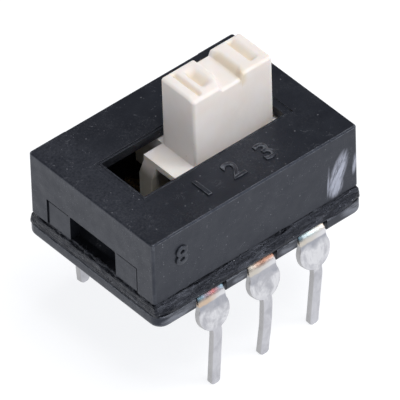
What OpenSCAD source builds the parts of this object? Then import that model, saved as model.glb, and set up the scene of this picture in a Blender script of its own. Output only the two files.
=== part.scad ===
// Miniature two-pole slide switch for a printed circuit board.
// X runs along the switch, Y across it, and Z up from the plane of the pin tips.
// The slider stands at its +X end and travels towards -X.

/* [Housing] */
// Length of the housing past each end of the window
end_land = 1.62; // [1.3:0.02:2.5]
// Width of the housing
body_w = 7.25; // [7:0.05:9]
// Height of the housing above the base
body_h = 3.0; // [2.5:0.05:4]
// Thickness of the top wall
top_t = 0.4; // [0.3:0.05:0.6]
// Thickness of the side and end walls
wall_t = 0.5; // [0.4:0.02:0.55]
// Radius of the upright corners
corner_r = 0.12; // [0.12:0.02:0.5]
// Radius of the cavity's upright corners
cavity_r = 0.1; // [0.05:0.01:0.2]
// Radius along the edges of the top face
top_edge_r = 0.08; // [0.04:0.01:0.1]
// Length of the relief along each long top edge
relief_l = 6.7; // [4:0.1:8]
// Width and depth of that relief
relief_c = 0.07; // [0.05:0.01:0.15]
// Width of the step that frames the window along its sides
frame_side = 0.12; // [0.08:0.01:0.2]
// Width of the step that frames the window at its ends
frame_end = 0.35; // [0.1:0.05:0.5]
// Depth of that step
frame_d = 0.05; // [0.02:0.01:0.1]

/* [End openings] */
// Width of the opening in each end wall
opening_w = 2.66; // [1.5:0.02:3.4]
// Height of the opening above the seam
opening_h = 1.22; // [0.6:0.02:1.6]
// Radius of the opening's upper corners
opening_r = 0.16; // [0.05:0.01:0.3]
// Width of the inset panel in each end wall
panel_w = 5.3; // [4:0.1:6.4]
// Depth of the inset panel
panel_d = 0.04; // [0.02:0.01:0.1]

/* [Base] */
// Height of the base, from its underside to the seam
base_h = 1.15; // [1:0.05:1.6]
// How far the lip stands out past the long faces of the housing
lip_side = 0.28; // [0.2:0.02:0.5]
// How far the lip stands out past the ends of the housing
lip_end = 0.06; // [0.05:0.01:0.3]
// Height of the lip above the terminal straps
lip_over = 0.05; // [0.02:0.01:0.2]
// Radius of the lip's upright corners
lip_r = 0.5; // [0.3:0.02:0.8]
// Radius along the lower edge of the lip
lip_edge_r = 0.18; // [0.1:0.01:0.25]
// Thickness of the floor under the terminals
floor_under = 0.2; // [0.15:0.01:0.3]
// How far the upper part of the base is set in under the housing
base_inset = 0.1; // [0.05:0.01:0.15]
// How far the foot of the sealing bead stays back from the edge of the lip
bead_back = 0.03; // [0.01:0.01:0.05]

/* [Terminals] */
// Distance between neighbouring terminals along the switch, and the slider's travel
pitch = 2.54; // [2:0.01:3.1]
// Distance between the two rows, at the pin tips
row_pitch = 7.62; // [6:0.01:10]
// Thickness of the terminal sheet
metal_t = 0.3; // [0.2:0.01:0.36]
// Width of the strap and its contact pad
strap_w = 1.32; // [1:0.02:1.4]
// Widest part of the shoulder
shoulder_w = 1.52; // [1.2:0.02:1.8]
// How far the shoulder's corners reach up into the bend
shoulder_up = 0.02; // [0.01:0.01:0.1]
// Width of the pin
pin_w = 0.45; // [0.3:0.01:0.6]
// Length of the pin below the shoulder
pin_l = 2.98; // [2:0.02:4]
// Height of the shoulder between the pin and the underside of the base
shoulder_h = 1.22; // [1.1:0.02:1.6]
// Gap between the lip and the outer face of the shoulder
shoulder_out = 0.32; // [0.2:0.01:0.4]
// Inner radius of the bend
bend_in = 0.1; // [0.05:0.01:0.15]
// Distance below the shoulder at which the pin starts to lean in
toe_drop = 0.1; // [0.05:0.01:0.3]
// Corner cut at the pin tip
tip_c = 0.08; // [0:0.01:0.12]
// Distance between the inner ends of the two rows of pads
pad_gap = 2.3; // [2.1:0.05:2.6]

/* [Knob] */
// Length of the knob
knob_l = 3.96; // [3:0.02:5]
// Width of the knob
knob_w = 1.92; // [1.4:0.02:2]
// Height of the knob above the housing
knob_h = 2.87; // [2:0.01:4]
// Radius of the knob's edges
knob_r = 0.13; // [0.05:0.01:0.2]
// Length of the valley across the middle of the knob
valley_l = 0.84; // [0.6:0.02:1.2]
// Depth of that valley
valley_d = 0.28; // [0.1:0.01:0.4]
// Width of each finger groove
groove_w = 0.38; // [0.2:0.01:0.5]
// Depth of each finger groove
groove_d = 0.11; // [0.05:0.01:0.15]
// Distance from the knob's end to the middle of the outer groove
groove_out = 0.52; // [0.4:0.01:0.6]
// Distance between the two grooves of one hump
groove_step = 0.56; // [0.45:0.01:0.62]

/* [Slider] */
// Gap between the knob and the window at the end of the travel
knob_end_gap = 0.25; // [0.15:0.01:0.35]
// Gap between the knob and the window on each side
knob_side_gap = 0.3; // [0.15:0.01:0.4]
// Running gap above and below the slider
run_gap = 0.05; // [0.03:0.01:0.08]
// Thickness of the step plate
plate_t = 0.28; // [0.2:0.01:0.4]
// How far the stiffening rib reaches past the step plate
rib_out = 0.2; // [0:0.02:0.25]
// Gap between the rib and the end wall at the end of the travel
rib_end_gap = 0.18; // [0.1:0.01:0.3]
// Thickness of the stiffening rib
rib_t = 0.72; // [0.4:0.02:0.9]
// Height of the wings below the top wall
wing_h = 2.0; // [1.6:0.05:2.1]

/* [Contact clips] */
// Width of each contact clip
clip_w = 1.0; // [0.7:0.02:1.1]
// Thickness of each contact clip
clip_t = 0.15; // [0.1:0.01:0.18]
// Half-length of each contact clip
clip_half = 2.75; // [2.2:0.05:2.9]
// Half-length of the flat seat in its middle
clip_seat = 0.45; // [0.4:0.01:0.5]
// Height that the tips rise above the contact points
clip_rise = 0.8; // [0.5:0.05:0.9]
// Diameter of the stake that holds the clip
stake_d = 0.46; // [0.3:0.02:0.5]
// Diameter of the stake's head
stake_head_d = 0.74; // [0.6:0.02:0.8]

/* [Detent spring] */
// Thickness of the leaf
leaf_t = 0.12; // [0.08:0.01:0.15]
// Height of the leaf's band
leaf_h = 0.8; // [0.5:0.05:0.9]
// Depth to which the nose sits in the slider
detent_d = 0.15; // [0.1:0.01:0.2]
// Half-length of the nose
nose_half = 0.42; // [0.3:0.02:0.5]
// Distance from each end of the leaf to the end wall
leaf_end = 1.0; // [0.6:0.05:1.4]
// Length of each leg that stands on the base
leg_l = 0.45; // [0.3:0.05:0.6]
// Length over which the leaf bends back into its slots
leaf_run = 0.6; // [0.4:0.05:0.8]
// Gap around the leaf where it slides or seats
leaf_gap = 0.03; // [0.02:0.01:0.05]

/* [Hidden] */

$fn = 48;
eps = 0.01;           // overshoot of a cut past a face
row_names = ["front", "rear"];
place_names = ["left", "centre", "right"];

black = [0.07, 0.075, 0.085];
dark_resin = [0.04, 0.04, 0.045];
ivory = [0.93, 0.9, 0.85];
tin = [0.74, 0.74, 0.76];
bronze = [0.72, 0.52, 0.25];
steel = [0.6, 0.61, 0.63];

// Levels
z_base = pin_l + shoulder_h;
z_floor = z_base + floor_under + metal_t;
z_lip = z_floor + lip_over;
z_seam = z_base + base_h;
z_top = z_seam + body_h;
z_ceiling = z_top - top_t;
z_slider_top = z_ceiling - run_gap;
z_slider_low = z_floor + run_gap;
z_knob = z_top + knob_h;
z_wing = z_ceiling - wing_h;

// Plan
travel = pitch;
window_l = knob_l + travel + 2 * knob_end_gap;
window_w = knob_w + 2 * knob_side_gap;
body_l = window_l + 2 * end_land;
cavity_l = body_l - 2 * wall_t;
cavity_w = body_w - 2 * wall_t;
frame_l = window_l + 2 * frame_end;
frame_w = window_w + 2 * frame_side;
base_l = body_l + 2 * lip_end;
base_w = body_w + 2 * lip_side;
block_l = body_l - 2 * base_inset;
block_w = body_w - 2 * base_inset;
bead_side = lip_side - bead_back;
bead_end = lip_end - bead_back;
slider_x = travel / 2;

// Terminal section
bend_r = bend_in + metal_t;
shoulder_y = base_w / 2 + shoulder_out;
tip_y = row_pitch / 2 + metal_t / 2;
bend_y = shoulder_y - bend_r;
bend_z = z_floor - bend_r;
pad_y = pad_gap / 2;
shoulder_r = shoulder_w / 2;
neck_drop = sqrt(pow(shoulder_r, 2) - pow(pin_w / 2, 2));
shoulder_z = pin_l + neck_drop;
shoulder_top = bend_z + shoulder_up;

// Slider and what it carries
rib_half = (cavity_l - travel) / 2 - rib_end_gap;
plate_half = rib_half - rib_out;
leaf_back = cavity_w / 2 - detent_d - leaf_gap;
leaf_front = leaf_back - leaf_t;
wing_y = leaf_front - detent_d - leaf_gap;
nose_y = wing_y - detent_d + leaf_gap;
nose_h = leaf_front - nose_y;
clip_y = (pad_y + clip_w / 2 + wing_y - leaf_gap - clip_w / 2) / 2;
clip_low = z_floor + run_gap + clip_t / 2;
clip_high = z_wing - clip_t / 2;
leaf_top = z_slider_top - leaf_gap;
leaf_half = cavity_l / 2 - leaf_end;
slot_d = wall_t / 2;
leaf_back_step = cavity_w / 2 + slot_d - leaf_gap - leaf_back;

// ---------- Shared shapes ----------

// Rectangle centred on the origin, with round corners
module rounded_plan(l, w, r) {
    square([l - 2 * r, w], center = true);
    square([l, w - 2 * r], center = true);
    for (sx = [-1, 1], sy = [-1, 1])
        translate([sx * (l / 2 - r), sy * (w / 2 - r)]) circle(r);
}

// Block with round upright corners, from height z0 to z1
module slab(l, w, r, z0, z1) {
    translate([0, 0, z0]) linear_extrude(z1 - z0) rounded_plan(l, w, r);
}

// A section swept round a rounded rectangle; the section's x is measured from the corner's axis
module swept_rim(l, w, r) {
    for (a = [0, 180]) {
        rotate([0, 0, a]) {
            translate([l / 2 - r, -w / 2 + r, 0])
                rotate([90, 0, 180]) mirror([1, 0, 0]) linear_extrude(w - 2 * r) children();
            translate([-l / 2 + r, w / 2 - r, 0])
                rotate([90, 0, 90]) linear_extrude(l - 2 * r) children();
            translate([l / 2 - r, w / 2 - r, 0]) rotate_extrude(angle = 90) children();
            translate([-l / 2 + r, w / 2 - r, 0])
                rotate([0, 0, 90]) rotate_extrude(angle = 90) children();
        }
    }
}

// Outline of a thin strip that follows a path of points
function unit(v) = v / norm(v);
function tangent(path, i) = unit(path[min(i + 1, len(path) - 1)] - path[max(i - 1, 0)]);
function side_of(path, i, d) = path[i] + d * [-tangent(path, i)[1], tangent(path, i)[0]];
function strip(path, t) = concat(
    [for (i = [0:len(path) - 1]) side_of(path, i, t / 2)],
    [for (i = [len(path) - 1:-1:0]) side_of(path, i, -t / 2)]);

// Smooth step from 0 to 1 as u goes from 0 to 1
function ease(u) = (1 - cos(180 * max(0, min(1, u)))) / 2;

// ---------- Housing ----------

module housing_shell() {
    slab(body_l, body_w, corner_r, z_seam, z_top - top_edge_r);
    slab(body_l - 2 * top_edge_r, body_w - 2 * top_edge_r, corner_r - top_edge_r,
        z_top - top_edge_r, z_top);
    swept_rim(body_l, body_w, corner_r)
        translate([0, z_top - top_edge_r]) intersection() {
            translate([corner_r - top_edge_r, 0]) circle(top_edge_r);
            translate([corner_r - top_edge_r, 0]) square(top_edge_r);
        }
}

module end_opening() {
    rotate([90, 0, 90]) linear_extrude(wall_t + 2 * eps) {
        translate([-opening_w / 2, 0]) square([opening_w, opening_h - opening_r]);
        translate([-opening_w / 2 + opening_r, 0]) square([opening_w - 2 * opening_r, opening_h]);
        for (s = [-1, 1])
            translate([s * (opening_w / 2 - opening_r), opening_h - opening_r]) circle(opening_r);
    }
}

module housing() {
    color(black) difference() {
        housing_shell();
        slab(cavity_l, cavity_w, cavity_r, z_seam - eps, z_ceiling);
        translate([-window_l / 2, -window_w / 2, z_ceiling - eps])
            cube([window_l, window_w, top_t + 2 * eps]);
        translate([-frame_l / 2, -frame_w / 2, z_top - frame_d])
            cube([frame_l, frame_w, frame_d + eps]);
        for (s = [0, 1]) mirror([s, 0, 0]) {
            translate([body_l / 2 - wall_t - eps, 0, z_seam - eps]) end_opening();
            translate([body_l / 2 - panel_d, -panel_w / 2, z_seam - eps])
                cube([panel_d + eps, panel_w, opening_h + eps]);
        }
        for (s = [0, 1]) mirror([0, s, 0])
            translate([-relief_l / 2, body_w / 2, z_top]) rotate([45, 0, 0])
                cube([relief_l, relief_c * sqrt(2), relief_c * sqrt(2)]);
        leaf_slots();
    }
}

// Slots in the rear wall for the ends of the detent spring, open towards the base
module leaf_slots() {
    for (s = [0, 1]) mirror([s, 0, 0])
        translate([leaf_half - leg_l - leaf_run, cavity_w / 2 - eps, z_seam - eps])
            cube([leg_l + leaf_run + leaf_gap, slot_d + eps, leaf_top + leaf_gap - z_seam + eps]);
}

// ---------- Base ----------

module lip() {
    slab(base_l, base_w, lip_r, z_base + lip_edge_r, z_lip);
    slab(base_l - 2 * lip_edge_r, base_w - 2 * lip_edge_r, lip_r - lip_edge_r,
        z_base, z_base + lip_edge_r);
    swept_rim(base_l, base_w, lip_r)
        translate([0, z_base + lip_edge_r]) intersection() {
            translate([lip_r - lip_edge_r, 0]) circle(lip_edge_r);
            translate([lip_r - lip_edge_r, -lip_edge_r]) square(lip_edge_r);
        }
}

module base() {
    color(black) difference() {
        union() {
            lip();
            slab(block_l, block_w, corner_r, z_base + lip_edge_r, z_seam);
        }
        slab(cavity_l, cavity_w, cavity_r, z_floor, z_seam + eps);
        for (s = [0, 1]) mirror([0, s, 0]) for (i = [-1:1]) translate([i * pitch, 0, 0]) {
            translate([-strap_w / 2, pad_y, z_floor - metal_t])
                cube([strap_w, base_w, metal_t]);
            translate([-shoulder_w / 2, block_w / 2, z_base - eps])
                cube([shoulder_w, base_w, z_lip - z_base + 2 * eps]);
        }
    }
}

// ---------- Sealing bead ----------

module seal_bead() {
    color(dark_resin) difference() {
        union() {
            slab(body_l + 2 * bead_end, body_w + 2 * bead_side, corner_r + bead_end,
                z_lip, z_lip + (z_seam - z_lip) / 2);
            slab(body_l, body_w, corner_r, z_lip, z_seam);
        }
        slab(block_l, block_w, corner_r, z_lip - eps, z_seam + eps);
    }
}

// ---------- Terminals ----------

// Section of a terminal across the switch: pad and strap, bend, shoulder and toed-in pin
module terminal_section() {
    difference() {
        behind_face(0);
        behind_face(metal_t);
        translate([-eps, bend_z]) square([pad_y + eps, bend_r + eps]);
    }
}

// Region under and behind a face of the bent sheet, at a depth below its outer face
module behind_face(depth) {
    translate([0, bend_z - bend_r]) square([bend_y, 2 * bend_r - depth]);
    translate([bend_y, bend_z]) circle(bend_r - depth);
    polygon([[0, 0], [tip_y - depth, 0], [shoulder_y - depth, pin_l - toe_drop],
        [shoulder_y - depth, bend_z], [0, bend_z]]);
}

// The bent sheet, cut to the outline that its children give as seen from the long side
module cut_sheet() {
    intersection() {
        translate([-shoulder_w, 0, 0]) rotate([90, 0, 90])
            linear_extrude(2 * shoulder_w) terminal_section();
        translate([0, shoulder_y + eps, 0]) rotate([90, 0, 0])
            linear_extrude(shoulder_y + eps) children();
    }
}

// One terminal; place is -1, 0 or 1 along the row, and side is -1 for the front row
module terminal(place, side) {
    inside = shoulder_r / 3;    // how far the strap and the pin reach into the round shoulder
    color(tin) translate([place * pitch, 0, 0]) mirror([0, side < 0 ? 1 : 0, 0]) {
        cut_sheet() translate([-strap_w / 2, shoulder_z + inside])
            square([strap_w, z_floor - shoulder_z]);
        cut_sheet() translate([-shoulder_r, shoulder_z])
            square([2 * shoulder_r, shoulder_top - shoulder_z]);
        cut_sheet() difference() {
            translate([0, shoulder_z]) circle(shoulder_r);
            translate([-shoulder_w, shoulder_top]) square([2 * shoulder_w, shoulder_w]);
        }
        cut_sheet() polygon([[-pin_w / 2, shoulder_z - inside], [pin_w / 2, shoulder_z - inside],
            [pin_w / 2, tip_c], [pin_w / 2 - tip_c, 0], [-pin_w / 2 + tip_c, 0], [-pin_w / 2, tip_c]]);
    }
}

// ---------- Slider ----------

// Outline of the knob seen from the long side, with its humps, grooves and valley
module knob_profile() {
    difference() {
        union() {
            translate([-knob_l / 2, z_slider_top - plate_t])
                square([knob_l, z_knob - knob_r - z_slider_top + plate_t]);
            translate([-knob_l / 2 + knob_r, z_knob - knob_r])
                square([knob_l - 2 * knob_r, knob_r]);
            for (s = [-1, 1]) translate([s * (knob_l / 2 - knob_r), z_knob - knob_r]) circle(knob_r);
        }
        for (s = [0, 1]) mirror([s, 0]) {
            for (k = [0, 1]) translate([knob_l / 2 - groove_out - k * groove_step, z_knob])
                finger_groove();
            polygon([[-eps, z_knob - valley_d], [valley_l / 2 - valley_d / 2, z_knob - valley_d],
                [valley_l / 2 + valley_d / 4, z_knob + eps], [-eps, z_knob + eps]]);
        }
    }
}

// Round-bottomed groove of the stated width and depth
module finger_groove() {
    groove_r = (pow(groove_w / 2, 2) + pow(groove_d, 2)) / (2 * groove_d);
    translate([0, groove_r - groove_d]) circle(groove_r);
}

module knob() {
    intersection() {
        translate([0, knob_w, 0]) rotate([90, 0, 0]) linear_extrude(2 * knob_w) knob_profile();
        translate([-knob_l, 0, 0]) rotate([90, 0, 90]) linear_extrude(2 * knob_l) {
            translate([-knob_w / 2, 0]) square([knob_w, z_knob - knob_r]);
            translate([-knob_w / 2 + knob_r, 0]) square([knob_w - 2 * knob_r, z_knob]);
            for (s = [-1, 1]) translate([s * (knob_w / 2 - knob_r), z_knob - knob_r]) circle(knob_r);
        }
        linear_extrude(z_knob + eps) rounded_plan(knob_l, knob_w, knob_r);
    }
}

module wings() {
    difference() {
        translate([-knob_l / 2, -wing_y, z_wing]) cube([knob_l, 2 * wing_y, z_slider_top - z_wing]);
        for (s = [-1, 1]) translate([s * travel / 2, wing_y, z_wing - eps]) detent_groove();
    }
}

// Groove in the rear side of the wings in which the spring's nose sits
module detent_groove() {
    groove_half = nose_half + leaf_gap;
    r = (pow(groove_half, 2) + pow(detent_d, 2)) / (2 * detent_d);
    translate([0, r - detent_d, 0]) cylinder(h = z_slider_top - z_wing + 2 * eps, r = r);
}

module slider() {
    color(ivory) translate([slider_x, 0, 0]) {
        knob();
        translate([-knob_l / 2, -knob_w / 2, z_slider_low])
            cube([knob_l, knob_w, z_slider_top - z_slider_low]);
        translate([-plate_half, -knob_w / 2, z_slider_top - plate_t])
            cube([2 * plate_half, knob_w, plate_t]);
        translate([-rib_half, knob_w / 2 - rib_t, z_slider_low])
            cube([2 * rib_half, rib_t, z_slider_top - plate_t - z_slider_low]);
        wings();
        for (s = [-1, 1]) translate([0, s * clip_y, 0]) {
            translate([0, 0, z_wing - 2 * clip_t]) cylinder(h = 2 * clip_t + eps, d = stake_d);
            translate([0, 0, z_wing - 2 * clip_t]) cylinder(h = clip_t, d = stake_head_d);
        }
    }
}

// ---------- Contact clips ----------

function clip_z(x) = x < clip_seat ? clip_high
    : x < pitch / 2 ? clip_high + (clip_low - clip_high) * ease((x - clip_seat) / (pitch / 2 - clip_seat))
    : clip_low + clip_rise * (1 - cos(90 * (x - pitch / 2) / (clip_half - pitch / 2)));
clip_steps = 26;
clip_path = [for (i = [-clip_steps:clip_steps])
    let (x = clip_half * i / clip_steps) [x, clip_z(abs(x))]];

module contact_clip(side) {
    color(bronze) translate([slider_x, side * clip_y, 0]) difference() {
        translate([0, clip_w / 2, 0]) rotate([90, 0, 0])
            linear_extrude(clip_w) polygon(strip(clip_path, clip_t));
        translate([0, 0, z_wing - 2 * clip_t]) cylinder(h = 3 * clip_t, d = stake_d);
    }
}

// ---------- Detent spring ----------

function leaf_y(x) = leaf_back - leaf_t / 2
    - (x < nose_half ? nose_h * ease(1 - x / nose_half) : 0)
    + leaf_back_step * ease((x - leaf_half + leg_l + leaf_run) / leaf_run);
leaf_steps = 60;
leaf_path = [for (i = [-leaf_steps:leaf_steps])
    let (x = leaf_half * i / leaf_steps) [x, leaf_y(abs(x))]];

module detent_spring() {
    color(steel) intersection() {
        translate([0, 0, z_seam]) linear_extrude(leaf_top - z_seam) polygon(strip(leaf_path, leaf_t));
        union() {
            translate([-leaf_half, 0, leaf_top - leaf_h]) cube([2 * leaf_half, body_w, leaf_h]);
            for (s = [0, 1]) mirror([s, 0, 0])
                translate([leaf_half - leg_l, 0, z_seam]) cube([leg_l + eps, body_w, leaf_top - z_seam]);
        }
    }
}

// ---------- What is drawn ----------

housing();
base();
seal_bead();
for (row = [0, 1], place = [0:2])
    terminal(place - 1, 2 * row - 1);
slider();
contact_clip(-1);  // contact_clip_front
contact_clip(1);  // contact_clip_rear
detent_spring();
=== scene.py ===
"""Miniature slide switch: the finish of every piece, the studio and the camera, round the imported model.

Shapes are built in millimetres on a workbench, and are brought to the frame's metres when they are placed.
"""

import logging
import math
from contextlib import contextmanager
from dataclasses import dataclass, field, replace
from enum import Enum
from typing import Iterator, Sequence

import bmesh
import bpy
from mathutils import Matrix, Vector, noise


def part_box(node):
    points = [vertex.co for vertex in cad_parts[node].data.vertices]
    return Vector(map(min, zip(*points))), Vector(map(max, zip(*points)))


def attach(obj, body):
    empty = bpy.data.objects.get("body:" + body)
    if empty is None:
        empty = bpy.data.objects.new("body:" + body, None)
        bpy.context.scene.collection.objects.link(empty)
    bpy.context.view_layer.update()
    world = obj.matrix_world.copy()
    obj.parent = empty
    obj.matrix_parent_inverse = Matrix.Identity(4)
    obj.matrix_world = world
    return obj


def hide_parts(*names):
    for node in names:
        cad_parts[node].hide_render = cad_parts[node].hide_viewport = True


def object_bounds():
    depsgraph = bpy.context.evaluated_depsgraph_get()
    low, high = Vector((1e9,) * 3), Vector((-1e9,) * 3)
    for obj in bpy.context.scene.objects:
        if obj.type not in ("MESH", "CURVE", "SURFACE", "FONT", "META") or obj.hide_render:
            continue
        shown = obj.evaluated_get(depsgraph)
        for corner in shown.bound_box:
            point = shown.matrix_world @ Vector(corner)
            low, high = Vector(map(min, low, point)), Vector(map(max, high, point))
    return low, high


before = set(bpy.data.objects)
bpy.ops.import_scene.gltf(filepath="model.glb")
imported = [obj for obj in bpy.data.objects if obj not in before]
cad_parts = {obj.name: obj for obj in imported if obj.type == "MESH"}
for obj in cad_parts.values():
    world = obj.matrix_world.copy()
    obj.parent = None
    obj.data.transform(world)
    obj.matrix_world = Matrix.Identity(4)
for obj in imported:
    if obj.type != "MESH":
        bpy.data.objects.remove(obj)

MM = 0.001  # one millimetre, in the frame's metres
CAD_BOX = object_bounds()
LOG = logging.getLogger("slide_switch")
WAVE_SEED = 7  # without a seed, Blender's noise vectors differ from run to run
MIX_SHARE, MIX_FIRST, MIX_SECOND, MIX_RESULT = 0, 6, 7, 2  # the colour sockets of Blender's Mix node

Piece = bpy.types.Object
Material = bpy.types.Material
Node = bpy.types.Node
Socket = bpy.types.NodeSocket
Triple = tuple[float, float, float]
Colour = Triple
Point2 = tuple[float, float]
ORIGIN: Triple = (0.0, 0.0, 0.0)
EVEN: Triple = (1.0, 1.0, 1.0)
QUARTERS = ((1, 1), (-1, 1), (-1, -1), (1, -1))  # the corners of a rectangle, counter-clockwise
PAST = 0.01  # how far a cutter reaches past the face that it cuts, in millimetres
TINY = 1e-5  # two points closer than this are one, in millimetres


class Body(Enum):
    """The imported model's bodies."""

    FIXED = "body"
    SLIDER = "slider_group"


class Slot(Enum):
    """Names of the material slots, handed to Bench.place, which does not use them."""

    HOUSING = "black_moulding"
    BASE = "base_moulding"
    RESIN = "sealing_resin"
    KNOB = "ivory_moulding"
    TERMINAL = "tinned_brass"
    CLIP = "spring_bronze"
    LEAF = "spring_steel"


class Axis(Enum):
    """The axis that an outline is drawn out along, as the places of x, y and z among (u, v, depth)."""

    X = (2, 0, 1)
    Y = (0, 2, 1)
    Z = (0, 1, 2)


class Join(Enum):
    """How one solid is combined with another."""

    CUT = "DIFFERENCE"
    FUSE = "UNION"


@dataclass(frozen=True)
class Box:
    """A CAD node's lowest and highest corners at rest, in millimetres."""

    low: Vector
    high: Vector

    @classmethod
    def of(cls, node: str) -> "Box":
        """Returns the box of a CAD node, by name."""
        low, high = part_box(node)
        return cls(low / MM, high / MM)

    @property
    def size(self) -> Vector:
        """Length, width and height of the box."""
        return self.high - self.low

    @property
    def centre(self) -> Vector:
        """Middle of the box."""
        return (self.high + self.low) / 2


# ---------------------------------------------------------------- Workbench


class Bench:
    """Makes plain solids in millimetres, combines them, and places the finished piece in the frame."""

    @staticmethod
    def linked(name: str, data: bpy.types.ID) -> Piece:
        """Makes an object for some data and links it to the scene."""
        made = bpy.data.objects.new(name, data)
        bpy.context.scene.collection.objects.link(made)
        return made

    @staticmethod
    @contextmanager
    def editing(mesh: bpy.types.Mesh) -> Iterator[bmesh.types.BMesh]:
        """Opens a mesh for editing, and writes it back."""
        work = bmesh.new()
        work.from_mesh(mesh)
        yield work
        work.to_mesh(mesh)
        work.free()

    @staticmethod
    def mesh_object(name: str, points: Sequence[Sequence[float]], faces: Sequence[Sequence[int]]) -> Piece:
        """Makes an object from points and faces, with its faces turned outwards.

        Args:
            name: Name of the object.
            points: Corners, in millimetres.
            faces: Corner numbers of each face.

        Returns:
            The new object, linked to the scene.
        """
        mesh = bpy.data.meshes.new(name)
        mesh.from_pydata([tuple(p) for p in points], [], [tuple(f) for f in faces])
        with Bench.editing(mesh) as work:
            bmesh.ops.recalc_face_normals(work, faces=work.faces)
        return Bench.linked(name, mesh)

    @staticmethod
    def prism(outline: Sequence[Point2], start: float, end: float, axis: Axis = Axis.Z) -> Piece:
        """Draws a closed outline out into a solid.

        Args:
            outline: Points of the outline, in order.
            start: Depth at which the solid starts.
            end: Depth at which it ends.
            axis: Axis along which the outline is drawn out.

        Returns:
            The solid.
        """
        order = axis.value
        points = [[(u, v, depth)[k] for k in order] for depth in (start, end) for u, v in outline]
        n = len(outline)
        sides = [(i, (i + 1) % n, n + (i + 1) % n, n + i) for i in range(n)]
        return Bench.mesh_object("solid", points, [tuple(range(n))[::-1], tuple(range(n, 2 * n)), *sides])

    @staticmethod
    def block(low: Sequence[float], high: Sequence[float]) -> Piece:
        """Makes a block between two opposite corners."""
        outline = [(low[0], low[1]), (high[0], low[1]), (high[0], high[1]), (low[0], high[1])]
        return Bench.prism(outline, low[2], high[2])

    @staticmethod
    def rounded(length: float, width: float, radius: float, steps: int = 8) -> list[Point2]:
        """Returns the outline of a rectangle with round corners, centred on the origin.

        Args:
            length: Size along the first axis.
            width: Size along the second axis.
            radius: Radius of the corners.
            steps: Number of edges round each corner.

        Returns:
            The points, counter-clockwise.
        """
        points = []
        for quarter, (sx, sy) in enumerate(QUARTERS):
            for i in range(steps + 1):
                angle = math.pi / 2 * (quarter + i / steps)
                x = sx * (length / 2 - radius) + radius * math.cos(angle)
                y = sy * (width / 2 - radius) + radius * math.sin(angle)
                points.append((x, y))
        return points

    @staticmethod
    def slab(length: float, width: float, radius: float, z0: float, z1: float) -> Piece:
        """Makes a block with round upright corners between two heights."""
        return Bench.prism(Bench.rounded(length, width, radius), z0, z1)

    @staticmethod
    def apply(piece: Piece) -> None:
        """Turns a piece's modifiers into plain mesh."""
        graph = bpy.context.evaluated_depsgraph_get()
        mesh = bpy.data.meshes.new_from_object(piece.evaluated_get(graph))
        piece.modifiers.clear()
        piece.data = mesh

    @staticmethod
    def combine(piece: Piece, tool: Piece, how: Join) -> None:
        """Cuts a tool from a piece or fuses it on, and removes the tool."""
        step = piece.modifiers.new("shape", "BOOLEAN")
        step.operation = how.value
        step.solver = "EXACT"
        step.object = tool
        Bench.apply(piece)
        bpy.data.objects.remove(tool)

    @staticmethod
    def round_rim(piece: Piece, height: float, radius: float, segments: int = 4) -> None:
        """Rounds the edges that lie at one height.

        Args:
            piece: The solid.
            height: Height of the edges.
            radius: Radius given to them.
            segments: Number of faces round the edge.
        """
        with Bench.editing(piece.data) as work:
            level = [e for e in work.edges if all(abs(v.co.z - height) < TINY for v in e.verts)]
            bmesh.ops.bevel(work, geom=level, offset=radius, segments=segments, profile=0.5, affect="EDGES")

    @staticmethod
    def soften(
        piece: Piece, width: float, segments: int = 2, angle: float = 32.0, flat_angle: float = 0.4
    ) -> None:
        """Clears needless edges from flat faces and rounds the sharp ones.

        Args:
            piece: The solid.
            width: Width of the rounding.
            segments: Number of faces round each edge.
            angle: Least angle between faces, in degrees, at which an edge is rounded.
            flat_angle: Greatest angle between faces, in degrees, that counts as flat.
        """
        with Bench.editing(piece.data) as work:
            bmesh.ops.remove_doubles(work, verts=work.verts, dist=TINY)
            flat = math.radians(flat_angle)
            bmesh.ops.dissolve_limit(work, angle_limit=flat, verts=work.verts, edges=work.edges)
        step = piece.modifiers.new("edges", "BEVEL")
        step.width = width
        step.segments = segments
        step.limit_method = "ANGLE"
        step.angle_limit = math.radians(angle)
        step.use_clamp_overlap = True
        Bench.apply(piece)

    @staticmethod
    def mark_edges(piece: Piece, narrow: float) -> None:
        """Writes the attribute 'edge': 1 on the narrow faces along rounded edges, 0 elsewhere."""
        mesh = piece.data
        mark = mesh.attributes.new("edge", "FLOAT", "CORNER")
        for face in mesh.polygons:
            spots = [mesh.vertices[v].co for v in face.vertices]
            around = sum((a - b).length for a, b in zip(spots, spots[1:] + spots[:1]))
            value = 1.0 if face.area < narrow * around else 0.0
            for corner in face.loop_indices:
                mark.data[corner].value = value

    @staticmethod
    def smooth(piece: Piece, angle: float = 40.0, weighted: bool = True) -> None:
        """Shades a piece smooth, with sharp edges above an angle and flat faces kept flat."""
        piece.data.shade_smooth()
        piece.data.set_sharp_from_angle(angle=math.radians(angle))
        if weighted:
            step = piece.modifiers.new("normals", "WEIGHTED_NORMAL")
            step.keep_sharp = True
            Bench.apply(piece)

    @staticmethod
    def place(
        piece: Piece, name: str, body: Body, slot: Slot, material: Material, stands_for: Sequence[str] = ()
    ) -> None:
        """Brings a finished piece to the frame's metres and fixes it to its body.

        Args:
            piece: The finished piece, in millimetres.
            name: Its name.
            body: The body that it rides on.
            slot: The slot for its finish; not used.
            material: Its material.
            stands_for: The CAD nodes that it replaces.
        """
        piece.name = name
        piece.data.name = name
        piece.data.transform(Matrix.Scale(MM, 4))
        piece.data.update()
        piece.data.materials.clear()
        piece.data.materials.append(material)
        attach(piece, body.value)
        if stands_for:
            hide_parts(*stands_for)
        LOG.info("%s: %d faces on %s", name, len(piece.data.polygons), body.value)


# ---------------------------------------------------------------- Nodes


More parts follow.
